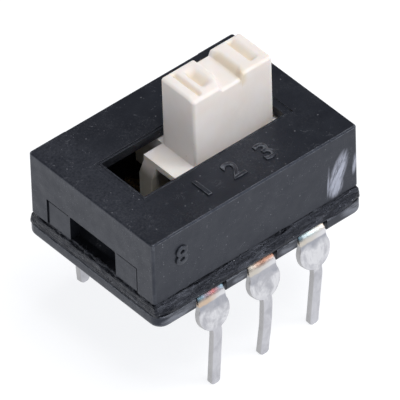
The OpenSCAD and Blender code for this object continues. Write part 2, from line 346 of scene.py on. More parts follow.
class Graph:
    """A node tree with short calls for adding and linking its nodes."""

    def __init__(self, tree: bpy.types.NodeTree) -> None:
        """Takes the tree that the nodes are added to."""
        self.tree = tree

    def add(self, kind: str, links: dict[str | int, object] | None = None, **settings: object) -> Node:
        """Adds a node.

        Args:
            kind: The node's type.
            links: For each input, by name or place, a socket to link or a value to set.
            **settings: The node's own settings.

        Returns:
            The node.
        """
        node = self.tree.nodes.new(kind)
        for name, value in settings.items():
            setattr(node, name, value)
        for key, value in (links or {}).items():
            if isinstance(value, Socket):
                self.tree.links.new(value, node.inputs[key])
            else:
                node.inputs[key].default_value = value
        return node

    def math(self, operation: str, *values: Socket | float, clamp: bool = False) -> Socket:
        """Returns the result of a math node on sockets or numbers."""
        links = dict(enumerate(values))
        return self.add("ShaderNodeMath", links, operation=operation, use_clamp=clamp).outputs[0]

    def times(self, first: Socket | float, second: Socket | float) -> Socket:
        """Returns the product of two sockets or numbers."""
        return self.math("MULTIPLY", first, second)


# ---------------------------------------------------------------- Materials


@dataclass(frozen=True)
class Pattern:
    """A noise: its scale per millimetre, and the span of its values over which a share runs from 0 to 1."""

    scale: float
    detail: float = 3.0
    rough: float = 0.5
    warp: float = 0.0
    centre: Triple = ORIGIN
    stretch: Triple = EVEN
    turn: Triple = ORIGIN
    span: tuple[float, float] = (0.3, 0.7)


@dataclass(frozen=True)
class Dots:
    """Scattered dots: cells per millimetre, a dot's radius in cells, the share of cells with one, a shift."""

    scale: float
    size: float
    share: float
    centre: Triple = ORIGIN


@dataclass(frozen=True)
class Scuff:
    """A scuffed or stained patch, or a patch of painted sheen or painted shade, in millimetres and degrees.
    """

    centre: Triple
    reach: Triple
    turn: Triple = ORIGIN
    strength: float = 1.0


class Paint(Graph):
    """A material's node tree, with short calls for what the finishes share. Lengths are in millimetres."""

    def __init__(self, name: str, **values: float | Colour) -> None:
        """Starts a material with one shader, whose sockets are set by name, with underscores for spaces."""
        self.material = bpy.data.materials.new(name)
        self.material.use_nodes = True
        super().__init__(self.material.node_tree)
        self.tree.nodes.clear()
        self.shader = self.add("ShaderNodeBsdfPrincipled")
        self.add("ShaderNodeOutputMaterial", {"Surface": self.shader.outputs["BSDF"]})
        self.object_place = self.add("ShaderNodeTexCoord").outputs["Object"]
        for key, value in values.items():
            socket = self.shader.inputs[key.replace("_", " ")]
            socket.default_value = (*value, 1.0) if socket.type == "RGBA" else value

    def feed(self, **sources: Socket) -> Material:
        """Links sockets to the shader's inputs, named as at the start, and returns the material."""
        for key, source in sources.items():
            self.tree.links.new(source, self.shader.inputs[key.replace("_", " ")])
        return self.material

    def place(self, centre: Triple = ORIGIN, stretch: Triple = EVEN, turn: Triple = ORIGIN) -> Socket:
        """Returns object coordinates in millimetres.

        Args:
            centre: Point that becomes the origin, in millimetres.
            stretch: How far a pattern is drawn out along each axis.
            turn: Turn of the pattern, in degrees.

        Returns:
            The vector socket.
        """
        away = {0: self.object_place, 1: [c * MM for c in centre]}
        moved = self.add("ShaderNodeVectorMath", away, operation="SUBTRACT").outputs[0]
        return self.add("ShaderNodeMapping", {
            "Vector": moved, "Rotation": [math.radians(t) for t in turn], "Scale": [MM * s for s in stretch],
        }, vector_type="TEXTURE").outputs["Vector"]

    def part(self, axis: int, centre: Triple = ORIGIN) -> Socket:
        """Returns x, y or z in millimetres, measured from a centre."""
        return self.add("ShaderNodeSeparateXYZ", {0: self.place(centre)}).outputs[axis]

    def noise(self, pattern: Pattern) -> Socket:
        """Returns a pattern's noise value."""
        return self.add("ShaderNodeTexNoise", {
            "Vector": self.place(pattern.centre, pattern.stretch, pattern.turn), "Scale": pattern.scale,
            "Detail": pattern.detail, "Roughness": pattern.rough, "Distortion": pattern.warp,
        }).outputs["Fac"]

    def ramp(self, value: Socket, *stops: tuple[float, float | Colour]) -> Socket:
        """Returns a colour or a grey that changes with a value, through the given stops."""
        node = self.add("ShaderNodeValToRGB", {"Fac": value})
        ramp = node.color_ramp
        while len(ramp.elements) < len(stops):
            ramp.elements.new(1.0)
        for element, (at, shade) in zip(ramp.elements, stops):
            element.position = at
            element.color = (*shade, 1.0) if isinstance(shade, tuple) else (shade, shade, shade, 1.0)
        return node.outputs["Color"]

    def share(self, pattern: Pattern, low: float | Colour = 0.0, high: float | Colour = 1.0) -> Socket:
        """Returns a number or colour that runs from low to high over a pattern's span."""
        return self.ramp(self.noise(pattern), (pattern.span[0], low), (pattern.span[1], high))

    def dots(self, dots: Dots) -> Socket:
        """Returns 1 in scattered dots and 0 between them."""
        cells = self.add("ShaderNodeTexVoronoi", {"Vector": self.place(dots.centre), "Scale": dots.scale})
        near = self.ramp(cells.outputs["Distance"], (dots.size / 2, 1.0), (dots.size, 0.0))
        chance = self.add("ShaderNodeSeparateColor", {"Color": cells.outputs["Color"]}).outputs[0]
        return self.times(near, self.math("LESS_THAN", chance, dots.share))

    def mix(self, share: Socket, first: Socket | Colour, second: Socket | Colour) -> Socket:
        """Returns the first colour where the share is 0 and the second where it is 1."""
        first, second = ((*c, 1.0) if isinstance(c, tuple) else c for c in (first, second))
        inputs = {MIX_SHARE: share, MIX_FIRST: first, MIX_SECOND: second}
        return self.add("ShaderNodeMix", inputs, data_type="RGBA").outputs[MIX_RESULT]

    def attribute(self, name: str) -> Socket:
        """Returns a number stored on the mesh."""
        return self.add("ShaderNodeAttribute", attribute_name=name).outputs["Fac"]

    def spot(self, scuff: Scuff) -> Socket:
        """Returns a value that falls from 1 at a patch's centre to 0 at its edge."""
        where = self.place(scuff.centre, scuff.reach, scuff.turn)
        away = self.add("ShaderNodeVectorMath", {0: where}, operation="LENGTH").outputs["Value"]
        return self.math("SUBTRACT", 1.0, away, clamp=True)

    def bump(self, height: Socket, depth: float, below: Socket | None = None) -> Socket:
        """Returns a normal bent by a height map, with its depth in millimetres, on top of another normal."""
        links = {"Height": height, "Strength": 1.0, "Distance": depth * MM}
        if below is not None:
            links["Normal"] = below
        return self.add("ShaderNodeBump", links).outputs["Normal"]


@dataclass(frozen=True)
class BlackMoulding:
    """Satin black thermoplastic with dust, fine lint, pale edges, scuffed patches, and patches of painted
    sheen where given.
    """

    name: str
    dark: Colour = (0.0056, 0.0066, 0.0094)
    light: Colour = (0.0103, 0.0119, 0.0155)
    dust: Colour = (0.16, 0.165, 0.18)
    worn: Colour = (0.10, 0.107, 0.12)
    # pale colour of the scuffs, and of the painted sheen patch where one is given
    rubbed_and_sheen: Colour = (0.40, 0.42, 0.50)
    specular: float = 0.47
    specular_tint: Colour = (0.71, 0.78, 1.0)
    roughness: tuple[float, float] = (0.33, 0.47)
    rubbed_roughness: Colour = (0.6, 0.6, 0.6)
    haze_share: float = 0.3
    dirt_share: float = 0.55
    lint: float = 0.55
    thread: float = 0.008
    worn_above: float = 8.05
    worn_fade: float = 0.2
    worn_below_share: float = 0.3
    worn_least: float = 0.15
    scuff_core: float = 0.45
    cloud: Pattern = Pattern(1.1, 4.0, 0.6)
    haze: Pattern = Pattern(0.42, 3.0, 0.6, 0.4, (1.0, 6.0, 2.0), span=(0.42, 0.68))
    powder: Pattern = Pattern(16.0, 4.0, 0.75, span=(0.5, 0.72))
    specks: Dots = Dots(3.2, 0.13, 0.35)
    fine_specks: Dots = Dots(9.0, 0.22, 0.22, (3.1, 1.7, 0.4))
    speck_patches: Pattern = Pattern(0.55, 2.0, span=(0.42, 0.62))
    fibres: Pattern = Pattern(1.6, 2.0, 0.5, 1.4, (5.2, 2.1, 7.7))
    fibre_patches: Pattern = Pattern(2.2, 1.0, span=(0.56, 0.63))
    wear: Pattern = Pattern(2.6, 4.0, 0.7, span=(0.4, 0.6))
    gloss: Pattern = Pattern(2.4, 5.0, 0.6)
    streaks: Pattern = Pattern(9.0, 4.0, 0.7, stretch=(1.0, 1.0, 7.0), span=(0.36, 0.55))
    grain: Pattern = Pattern(17.0, 3.0, 0.6)
    wave: Pattern = Pattern(0.9, 2.0)
    grain_depth: float = 0.0035
    wave_depth: float = 0.03
    dirt_depth: float = 0.006
    scuffs_and_sheen: tuple[Scuff, ...] = ()

    def dirt(self, paint: Paint) -> Socket:
        """Returns the share of specks and lint."""
        off_middle = paint.math("ABSOLUTE", paint.math("SUBTRACT", paint.noise(self.fibres), 0.5))
        lint = paint.ramp(off_middle, (0.0, 1.0), (self.thread, 0.0))
        lint = paint.times(lint, paint.share(self.fibre_patches))
        specks = paint.times(paint.dots(self.fine_specks), paint.share(self.speck_patches))
        specks = paint.math("MAXIMUM", paint.dots(self.specks), specks)
        return paint.math("MAXIMUM", specks, paint.times(lint, self.lint))

    def material(self) -> Material:
        """Builds the material."""
        paint = Paint(self.name, Specular_IOR_Level=self.specular, Specular_Tint=self.specular_tint)
        powder = paint.times(paint.share(self.powder), self.haze_share)
        colour = paint.share(self.cloud, self.dark, self.light)
        colour = paint.mix(paint.times(paint.share(self.haze), powder), colour, self.dust)
        dirt = self.dirt(paint)
        colour = paint.mix(paint.times(dirt, self.dirt_share), colour, self.dust)
        edge = paint.times(paint.attribute("edge"), paint.share(self.wear, self.worn_least))
        above = paint.math("SUBTRACT", paint.part(2), self.worn_above)
        above = paint.ramp(above, (0.0, self.worn_below_share), (self.worn_fade, 1.0))
        colour = paint.mix(paint.times(edge, above), colour, self.worn)
        rough = paint.share(self.gloss, *self.roughness)
        # Each patch is painted paler and rougher; on the housing, one faint wide patch over the top's left
        # end is painted sheen, not a scuff.
        for scuff in self.scuffs_and_sheen:
            streaks = paint.share(replace(self.streaks, centre=scuff.centre, turn=scuff.turn))
            patch = paint.ramp(paint.spot(scuff), (0.0, 0.0), (self.scuff_core, 1.0))
            share = paint.times(paint.times(patch, streaks), scuff.strength)
            colour = paint.mix(share, colour, self.rubbed_and_sheen)
            rough = paint.mix(share, rough, self.rubbed_roughness)
        grain = paint.bump(paint.noise(self.grain), self.grain_depth)
        wave = paint.bump(paint.noise(self.wave), self.wave_depth, grain)
        return paint.feed(Base_Color=colour, Roughness=rough, Normal=paint.bump(dirt, self.dirt_depth, wave))


@dataclass(frozen=True)
class SealingResin:
    """Black resin in a seam, drawn out in glossy streaks along it, with pale crumbs. The pale streaks and
    crumb dots are partly painted highlights.
    """

    name: str = "sealing_resin"
    dark: Colour = (0.0035, 0.004, 0.0055)
    # pale colour of the streaks, partly a painted glint
    streak_and_glint: Colour = (0.05, 0.054, 0.065)
    crumb: Colour = (0.15, 0.155, 0.17)
    specular: float = 0.36
    specular_tint: Colour = (0.74, 0.8, 1.0)
    roughness: tuple[float, float] = (0.22, 0.5)
    end_x: float = 5.05
    fibres: Pattern = Pattern(5.5, 4.0, 0.62, 0.3)
    along_side: Triple = (6.0, 1.0, 1.0)
    along_end: Triple = (1.0, 6.0, 1.0)
    fibre_span: tuple[float, float] = (0.5, 0.68)
    fibre_depth: float = 0.1
    crumbs: Dots = Dots(5.0, 0.16, 0.25)
    gloss: Pattern = Pattern(4.0, 3.0, span=(0.35, 0.65))

    def material(self) -> Material:
        """Builds the material."""
        paint = Paint(self.name, Specular_IOR_Level=self.specular, Specular_Tint=self.specular_tint)
        side, end = (paint.noise(replace(self.fibres, stretch=s)) for s in (self.along_side, self.along_end))
        at_end = paint.math("GREATER_THAN", paint.math("ABSOLUTE", paint.part(0)), self.end_x)
        fibres = paint.mix(at_end, side, end)
        # Partly painted highlight: the pale streak colour stands in for glints along the fibres.
        colour = paint.ramp(fibres, (self.fibre_span[0], self.dark), (self.fibre_span[1], self.streak_and_glint))
        # The pale crumb dots also stand in for glints, as painted highlights.
        return paint.feed(
            Base_Color=paint.mix(paint.dots(self.crumbs), colour, self.crumb),
            Roughness=paint.share(self.gloss, *self.roughness),
            Normal=paint.bump(fibres, self.fibre_depth),
        )


@dataclass(frozen=True)
class IvoryMoulding:
    """Warm white thermoplastic that lets a little light in, specked in its recesses and painted yellower
    there as shade.
    """

    name: str = "ivory_moulding"
    pale: Colour = (0.83, 0.795, 0.775)
    warm: Colour = (0.80, 0.75, 0.71)
    # yellow of the painted shade in the knob's hollows and at the valley's foot
    recess: Colour = (0.70, 0.59, 0.43)
    speck: Colour = (0.22, 0.18, 0.15)
    # darker colour of the painted shade low inside the housing
    inner_shade: Colour = (0.30, 0.28, 0.235)
    # near-black colour of the painted shade beside the knob's right end
    black: Colour = (0.05, 0.047, 0.045)
    specular: float = 0.45
    let_in: float = 0.35
    let_in_depth: float = 0.5
    let_in_reach: Colour = (1.0, 0.7, 0.45)
    roughness: tuple[float, float] = (0.40, 0.54)
    recess_share: float = 0.75
    inner_shade_line: float = 7.70
    inner_shade_fade: tuple[float, float] = (0.35, 0.9)
    inner_shade_wander: float = 0.3
    gap_shade: Scuff = Scuff((3.52, 0.0, 7.9), (0.35, 1.6, 0.3))
    gap_shade_span: tuple[float, float] = (0.1, 0.5)
    gap_shade_share: float = 0.95
    dirt_span: tuple[float, float] = (0.45, 0.7)
    stray_share: float = 0.5
    cloud: Pattern = Pattern(0.7, 3.0, 0.55, span=(0.35, 0.65))
    inner_shade_edge: Pattern = Pattern(2.0, 3.0)
    specks: Dots = Dots(4.3, 0.2, 0.3, (0.4, 0.2, 0.0))
    stray: Dots = Dots(1.3, 0.035, 0.3)
    gloss: Pattern = Pattern(3.0, 4.0, 0.6)
    grain: Pattern = Pattern(11.0, 3.0, 0.6)
    wave: Pattern = Pattern(0.8, 2.0)
    grain_depth: float = 0.002
    wave_depth: float = 0.03

    def material(self) -> Material:
        """Builds the material."""
        paint = Paint(
            self.name, Specular_IOR_Level=self.specular, Subsurface_Weight=self.let_in,
            Subsurface_Scale=MM * self.let_in_depth, Subsurface_Radius=self.let_in_reach,
        )
        # Painted shade: the mesh attribute marks the knob's hollows and the foot of the valley's right flank,
        # which are painted yellower where shade falls; the dirt specks use it too.
        sunk = paint.attribute("recess")
        colour = paint.share(self.cloud, self.warm, self.pale)
        colour = paint.mix(paint.math("MULTIPLY", sunk, self.recess_share, clamp=True), colour, self.recess)
        # Painted shade: below a wandering height the slider is painted darker, where it runs in the housing's
        # shade.
        wander = paint.times(paint.noise(self.inner_shade_edge), self.inner_shade_wander)
        height = paint.math("ADD", paint.part(2), wander)
        depth = paint.math("SUBTRACT", self.inner_shade_line, height)
        colour = paint.mix(paint.ramp(depth, (0.0, 0.0), self.inner_shade_fade), colour, self.inner_shade)
        # Painted shade: a near-black patch darkens the knob's right end and the plate beside it, under the
        # window's end wall.
        low, high = self.gap_shade_span
        gap_shade = paint.ramp(paint.spot(self.gap_shade), (low, 0.0), (high, self.gap_shade_share))
        colour = paint.mix(gap_shade, colour, self.black)
        low, high = self.dirt_span
        dirt = paint.times(paint.dots(self.specks), paint.ramp(sunk, (low, 0.0), (high, 1.0)))
        dirt = paint.math("MAXIMUM", dirt, paint.times(paint.dots(self.stray), self.stray_share))
        grain = paint.bump(paint.noise(self.grain), self.grain_depth)
        return paint.feed(
            Base_Color=paint.mix(dirt, colour, self.speck),
            Roughness=paint.share(self.gloss, *self.roughness),
            Normal=paint.bump(paint.noise(self.wave), self.wave_depth, grain),
        )


@dataclass(frozen=True)
class TinnedBrass:
    """Dull hot-tinned sheet with grey stains, and heat colours on its bend.

    The three tints run from the terminal's left edge to its right edge along the bend. The colour named under
    lies below them, on the left of the bend's lower half.
    """

    name: str
    x: float
    tints: tuple[Colour, Colour, Colour]
    under: Colour
    spots: tuple[Scuff, ...] = ()
    tin: Colour = (0.68, 0.68, 0.70)
    dull: Colour = (0.54, 0.54, 0.57)
    stain: Colour = (0.44, 0.44, 0.47)
    # blue-grey of the painted shade near the top of the disc
    disc_top_shade: Colour = (0.36, 0.37, 0.41)
    # colour of the painted shade on the cut side faces
    cut: Colour = (0.40, 0.395, 0.39)
    roughness: tuple[float, float] = (0.3, 0.46)
    bend_roughness: Colour = (0.38, 0.38, 0.38)
    neck: float = 2.85
    rise: float = 0.7
    rise_wander: float = 0.9
    rise_stops: tuple[float, float, float, float] = (0.0, 0.25, 0.66, 0.86)
    scratch_share: float = 0.5
    spot_gain: float = 2.0
    cut_share: float = 0.75
    across_wander: float = 0.9
    across_scale: float = 0.6
    across_start: float = 0.23
    tint_stops: tuple[float, float, float] = (0.18, 0.5, 0.85)
    under_span: tuple[float, float] = (0.35, 0.75)
    height_wander: float = 0.12
    under_line: float = 4.49
    under_fade: float = 0.12
    bend_line: float = 4.29
    bend_fade: float = 0.06
    mottle: Pattern = Pattern(1.9, 5.0, 0.62, 0.5, stretch=(1.0, 1.0, 1.5), span=(0.36, 0.54))
    rise_edge: Pattern = Pattern(1.3, 3.0)
    scratches: Pattern = Pattern(7.0, 3.0, 0.6, stretch=(0.7, 1.0, 6.0), span=(0.56, 0.75))
    tint_edge: Pattern = Pattern(1.6, 3.0)
    line_edge: Pattern = Pattern(3.0, 3.0)
    gloss: Pattern = Pattern(2.6, 4.0, 0.6)
    dents: Pattern = Pattern(2.2, 4.0, 0.55)
    grain: Pattern = Pattern(14.0, 3.0, 0.6)
    dent_depth: float = 0.035
    grain_depth: float = 0.003

    def sheet(self, paint: Paint) -> Socket:
        """Returns the colour of the tin away from the bend."""
        rise = paint.times(paint.math("SUBTRACT", paint.part(2), self.neck), self.rise)
        wander = paint.times(paint.math("SUBTRACT", paint.noise(self.rise_edge), 0.5), self.rise_wander)
        # Painted shade: the tin turns a darker blue-grey near the top of the disc, just below the bend.
        shades = (self.dull, self.tin, self.tin, self.disc_top_shade)
        upper = paint.ramp(paint.math("ADD", rise, wander), *zip(self.rise_stops, shades))
        colour = paint.mix(paint.share(self.mottle, 1.0, 0.0), upper, self.stain)
        colour = paint.mix(paint.share(self.scratches, 0.0, self.scratch_share), colour, self.stain)
        for spot in self.spots:
            mark = paint.math("MULTIPLY", paint.spot(spot), self.spot_gain * spot.strength, clamp=True)
            colour = paint.mix(mark, colour, self.stain)
        # Painted shade: the cut side faces, marked by the attribute 'edge', are painted darker.
        return paint.mix(paint.times(paint.attribute("edge"), self.cut_share), colour, self.cut)

    def bend(self, paint: Paint, height: Socket) -> Socket:
        """Returns the heat colours, for a height that wanders a little."""
        wander = paint.times(paint.noise(self.tint_edge), self.across_wander)
        across = paint.math("ADD", paint.part(0, (self.x, 0.0, 0.0)), wander)
        across = paint.math("MULTIPLY_ADD", across, self.across_scale, self.across_start)
        heat = paint.ramp(across, *zip(self.tint_stops, self.tints))
        lower = paint.math("SUBTRACT", height, self.under_line)
        lower = paint.ramp(lower, (0.0, 1.0), (self.under_fade, 0.0))
        right = paint.ramp(across, *zip(self.under_span, (0.0, 1.0)))
        return paint.mix(lower, heat, paint.mix(right, self.under, self.tin))

    def material(self) -> Material:
        """Builds the material."""
        paint = Paint(self.name, Metallic=1.0)
        wander = paint.times(paint.noise(self.line_edge), self.height_wander)
        height = paint.math("ADD", paint.part(2), wander)
        zone = paint.math("SUBTRACT", height, self.bend_line)
        zone = paint.ramp(zone, (0.0, 0.0), (self.bend_fade, 1.0))
        dents = paint.bump(paint.noise(self.dents), self.dent_depth)
        return paint.feed(
            Base_Color=paint.mix(zone, self.sheet(paint), self.bend(paint, height)),
            Roughness=paint.mix(zone, paint.share(self.gloss, *self.roughness), self.bend_roughness),
            Normal=paint.bump(paint.noise(self.grain), self.grain_depth, dents),
        )


@dataclass(frozen=True)
class SpringMetal:
    """Rolled spring sheet, brushed along its length, with a little tarnish."""

    name: str
    bright: Colour
    dull: Colour
    roughness: tuple[float, float] = (0.24, 0.4)
    tarnish: Pattern = Pattern(1.6, 4.0, 0.6, span=(0.35, 0.65))
    rolled: Pattern = Pattern(14.0, 2.0, stretch=(20.0, 1.0, 1.0))
    rolled_depth: float = 0.002

    def material(self) -> Material:
        """Builds the material."""
        paint = Paint(self.name, Metallic=1.0)
        rolled = paint.noise(self.rolled)
        return paint.feed(
            Base_Color=paint.share(self.tarnish, self.dull, self.bright),
            Roughness=paint.ramp(rolled, *zip(self.rolled.span, self.roughness)),
            Normal=paint.bump(rolled, self.rolled_depth),
        )


@dataclass(frozen=True)
class StudioFloor:
    """Plain pale floor that glows a little, so that shadows on it stay faint."""

    name: str = "studio_floor"
    colour: Colour = (0.22, 0.222, 0.226)
    roughness: float = 0.9
    glow: float = 0.88
    glow_colour: Colour = (0.97, 0.98, 1.0)

    def material(self) -> Material:
        """Builds the material."""
        return Paint(
            self.name, Base_Color=self.colour, Roughness=self.roughness, Specular_IOR_Level=0.0,
            Emission_Color=self.glow_colour, Emission_Strength=self.glow,
        ).material


# ---------------------------------------------------------------- Housing


@dataclass
class HousingShell:
    """The black upper moulding, with its window, framed edge, end openings and inset end panels."""

    wall: float = 0.5
    top: float = 0.4
    corner: float = 0.12
    cavity_corner: float = 0.1
    rim: float = 0.08
    window: tuple[float, float] = (7.0, 2.52)
    frame_out: tuple[float, float] = (0.35, 0.12)
    frame_depth: float = 0.05
    rim_width: float = 0.06
    rim_height: float = 0.035
    relief_length: float = 6.7
    relief_cut: float = 0.07
    opening: tuple[float, float] = (2.66, 1.22)
    opening_corner: float = 0.16
    opening_steps: int = 5
    panel_width: float = 5.3
    panel_depth: float = 0.04
    line: float = 0.09
    line_depth: float = 0.04
    edge: float = 0.034
    narrow: float = 0.014
    box: Box = field(default_factory=lambda: Box.of("housing"))

    def outer(self) -> Piece:
        """Returns the outer block with its rounded upper rim."""
        size, low, high = self.box.size, self.box.low, self.box.high
        shell = Bench.slab(size.x, size.y, self.corner, low.z, high.z)
        Bench.round_rim(shell, high.z, self.rim)
        return shell

    def frame_window(self, shell: Piece) -> None:
        """Sinks the frame round the window into the top, with a fine rim where the window will be cut."""
        top = self.box.high.z
        wx, wy = self.window[0] / 2, self.window[1] / 2
        fx, fy = wx + self.frame_out[0], wy + self.frame_out[1]
        step = Bench.block((-fx, -fy, top - self.frame_depth), (fx, fy, top + PAST))
        Bench.combine(shell, step, Join.CUT)
        rx, ry = wx + self.rim_width, wy + self.rim_width
        low = top - self.frame_depth - PAST
        rim = Bench.block((-rx, -ry, low), (rx, ry, top - self.frame_depth + self.rim_height))
        Bench.combine(shell, rim, Join.FUSE)

    def cutters(self) -> list[Piece]:
        """Returns everything else that is cut from the block."""
        size, low, high = self.box.size, self.box.low, self.box.high
        under = low.z - PAST
        wx, wy = self.window[0] / 2, self.window[1] / 2
        made = [
            Bench.slab(*(s - 2 * self.wall for s in size.xy), self.cavity_corner, under, high.z - self.top),
            Bench.block((-wx, -wy, high.z - self.top - PAST), (wx, wy, high.z + PAST)),
        ]
        for side in (-1, 1):
            made += self.end_cutters(side, under)
            made.append(self.relief(side))
        return made

    def end_cutters(self, side: int, under: float) -> list[Piece]:
        """Returns the opening and the inset panel of one end wall.

        Args:
            side: -1 or 1, for the end at low or high X.
            under: Height at which the cutters start.

        Returns:
            The two cutters.
        """
        face = side * self.box.size.x / 2
        inner, outer = sorted((face - side * (self.wall + 2 * PAST), face + side * PAST))
        width, height = self.opening
        full = Bench.rounded(width, 2 * height, self.opening_corner, self.opening_steps)
        outline = [(u, max(v + self.box.low.z, under)) for u, v in full]
        kept = [p for i, p in enumerate(outline) if p != outline[i - 1]]
        panel_top = self.box.low.z + height + PAST
        half, gap = self.panel_width / 2, width / 2 + self.line
        panel = face - side * self.panel_depth
        skin, past = sorted((panel, face + side * PAST))
        low_x, high_x = sorted((panel, panel - side * self.line_depth))
        over, inside = panel_top - self.line, half - self.line
        lines = [(-half, -gap, over), (gap, half, over), (-half, -inside, under), (inside, half, under)]
        return [
            Bench.prism(kept, inner, outer, Axis.X),
            Bench.block((skin, -half, under), (past, half, panel_top)),
            *(Bench.block((low_x - PAST, y0, z), (high_x + PAST, y1, panel_top)) for y0, y1, z in lines),
        ]

    def relief(self, side: int) -> Piece:
        """Returns the cutter of the slanted relief along one long top edge."""
        y, z, cut = side * self.box.size.y / 2, self.box.high.z, self.relief_cut
        outline = [(y - side * cut, z), (y, z - cut), (y + side * cut, z - cut), (y + side * cut, z + cut),
                   (y - side * cut, z + cut)]
        return Bench.prism(outline, -self.relief_length / 2, self.relief_length / 2, Axis.X)

    def build(self, material: Material) -> None:
        """Makes the housing and places it."""
        shell = self.outer()
        self.frame_window(shell)
        for cutter in self.cutters():
            Bench.combine(shell, cutter, Join.CUT)
        Bench.soften(shell, self.edge)
        Bench.mark_edges(shell, self.narrow)
        Bench.smooth(shell)
        Bench.place(shell, "housing_shell", Body.FIXED, Slot.HOUSING, material, ["housing"])


@dataclass
class Numerals:
    """Plain raised numbers moulded on the housing: one for each terminal, and a cavity number on the side."""

    height: float = 0.04
    stroke: float = 0.03
    curve_steps: int = 6
    top_size: float = 1.35
    top_digits: tuple[tuple[str, float], ...] = (("1", -1.6), ("2", -0.05), ("3", 1.55))
    top_y: float = -2.45
    side_size: float = 1.2
    side_digit: str = "8"
    side_place: Point2 = (-3.72, 7.05)
    narrow: float = 0.012
    smooth_angle: float = 35.0
    box: Box = field(default_factory=lambda: Box.of("housing"))

    def digit(self, text: str, size: float, place: Matrix) -> bpy.types.Mesh:
        """Makes one raised digit.

        Args:
            text: The digit.
            size: Size of the letter, in millimetres.
            place: Matrix that takes it from the XY plane to its face.

        Returns:
            The digit as a closed mesh.
        """
        curve = bpy.data.curves.new("digit", "FONT")
        curve.body = text
        curve.size = size
        curve.align_x = "CENTER"
        curve.align_y = "CENTER"
        curve.extrude = self.height
        curve.bevel_depth = self.stroke
        curve.bevel_resolution = 1
        curve.resolution_u = self.curve_steps
        letter = Bench.linked("digit", curve)
        graph = bpy.context.evaluated_depsgraph_get()
        mesh = bpy.data.meshes.new_from_object(letter.evaluated_get(graph))
        bpy.data.objects.remove(letter)
        mesh.transform(place)
        return mesh

    def build(self, material: Material) -> None:
        """Makes the numbers and places them as one piece."""
        digits = [
            self.digit(text, self.top_size, Matrix.Translation((x, self.top_y, self.box.high.z)))
            for text, x in self.top_digits
        ]
        x, z = self.side_place
        upright = Matrix.Translation((x, self.box.low.y, z)) @ Matrix.Rotation(math.pi / 2, 4, "X")
        digits.append(self.digit(self.side_digit, self.side_size, upright))
        numbers = Bench.linked("digits", digits[0])
        with Bench.editing(numbers.data) as work:
            for digit in digits[1:]:
                work.from_mesh(digit)
            bmesh.ops.remove_doubles(work, verts=work.verts, dist=TINY)
        Bench.mark_edges(numbers, self.narrow)
        Bench.smooth(numbers, self.smooth_angle, weighted=False)
        Bench.place(numbers, "moulded_numbers", Body.FIXED, Slot.HOUSING, material)


# ---------------------------------------------------------------- Base and seam


@dataclass
class BaseTray:
    """The black lower moulding, with its outer lip, floor and six terminal notches."""

    wall_gap: float = 0.5
    corner: float = 0.12
    lip_over: float = 0.05
    lip_radius: float = 0.5
    lip_edge: float = 0.18
    lip_top_edge: float = 0.06
    floor_under: float = 0.2
    inset: float = 0.1
    strap: float = 1.32
    shoulder: float = 1.52
    metal: float = 0.3
    pad_start: float = 1.15
    pitch: float = 2.54
    cavity_corner: float = 0.1
    rim_steps: tuple[int, int] = (5, 3)
    edge: float = 0.03
    narrow: float = 0.02
    box: Box = field(default_factory=lambda: Box.of("base"))
    housing: Box = field(default_factory=lambda: Box.of("housing"))

    def build(self, material: Material) -> None:
        """Makes the base and places it."""
        size, low, high = self.box.size, self.box.low, self.box.high
        floor = low.z + self.floor_under + self.metal
        lip_top = floor + self.lip_over
        tray = Bench.slab(size.x, size.y, self.lip_radius, low.z, lip_top)
        Bench.round_rim(tray, low.z, self.lip_edge, self.rim_steps[0])
        Bench.round_rim(tray, lip_top, self.lip_top_edge, self.rim_steps[1])
        block = [s - 2 * self.inset for s in self.housing.size.xy]
        Bench.combine(tray, Bench.slab(*block, self.corner, low.z + self.lip_edge, high.z), Join.FUSE)
        cavity = [s - 2 * self.wall_gap for s in self.housing.size.xy]
        Bench.combine(tray, Bench.slab(*cavity, self.cavity_corner, floor, high.z + PAST), Join.CUT)
        for side in (-1, 1):
            for place in (-1, 0, 1):
                for cutter in self.notch(side, place * self.pitch, block[1] / 2, floor, lip_top):
                    Bench.combine(tray, cutter, Join.CUT)
        Bench.soften(tray, self.edge)
        Bench.mark_edges(tray, self.narrow)
        Bench.smooth(tray)
        Bench.place(tray, "base_tray", Body.FIXED, Slot.BASE, material, ["base"])

    def notch(self, side: int, x: float, wall: float, floor: float, lip_top: float) -> list[Piece]:
        """Returns the cutters of one terminal's strap slot and lip notch.

        Args:
            side: -1 for the front row and 1 for the rear row.
            x: Middle of the terminal.
            wall: Distance from the middle line to the base's outer wall.
            floor: Height of the tray's floor.
            lip_top: Height of the lip.

        Returns:
            The two cutters.
        """
        past = self.box.size.y
        parts = (
            (self.strap / 2, self.pad_start, floor - self.metal, floor),
            (self.shoulder / 2, wall, self.box.low.z - PAST, lip_top + PAST),
        )
        made = []
        for half, start, low, high in parts:
            near, far = sorted((side * start, side * past))
            made.append(Bench.block((x - half, near, low), (x + half, far, high)))
        return made


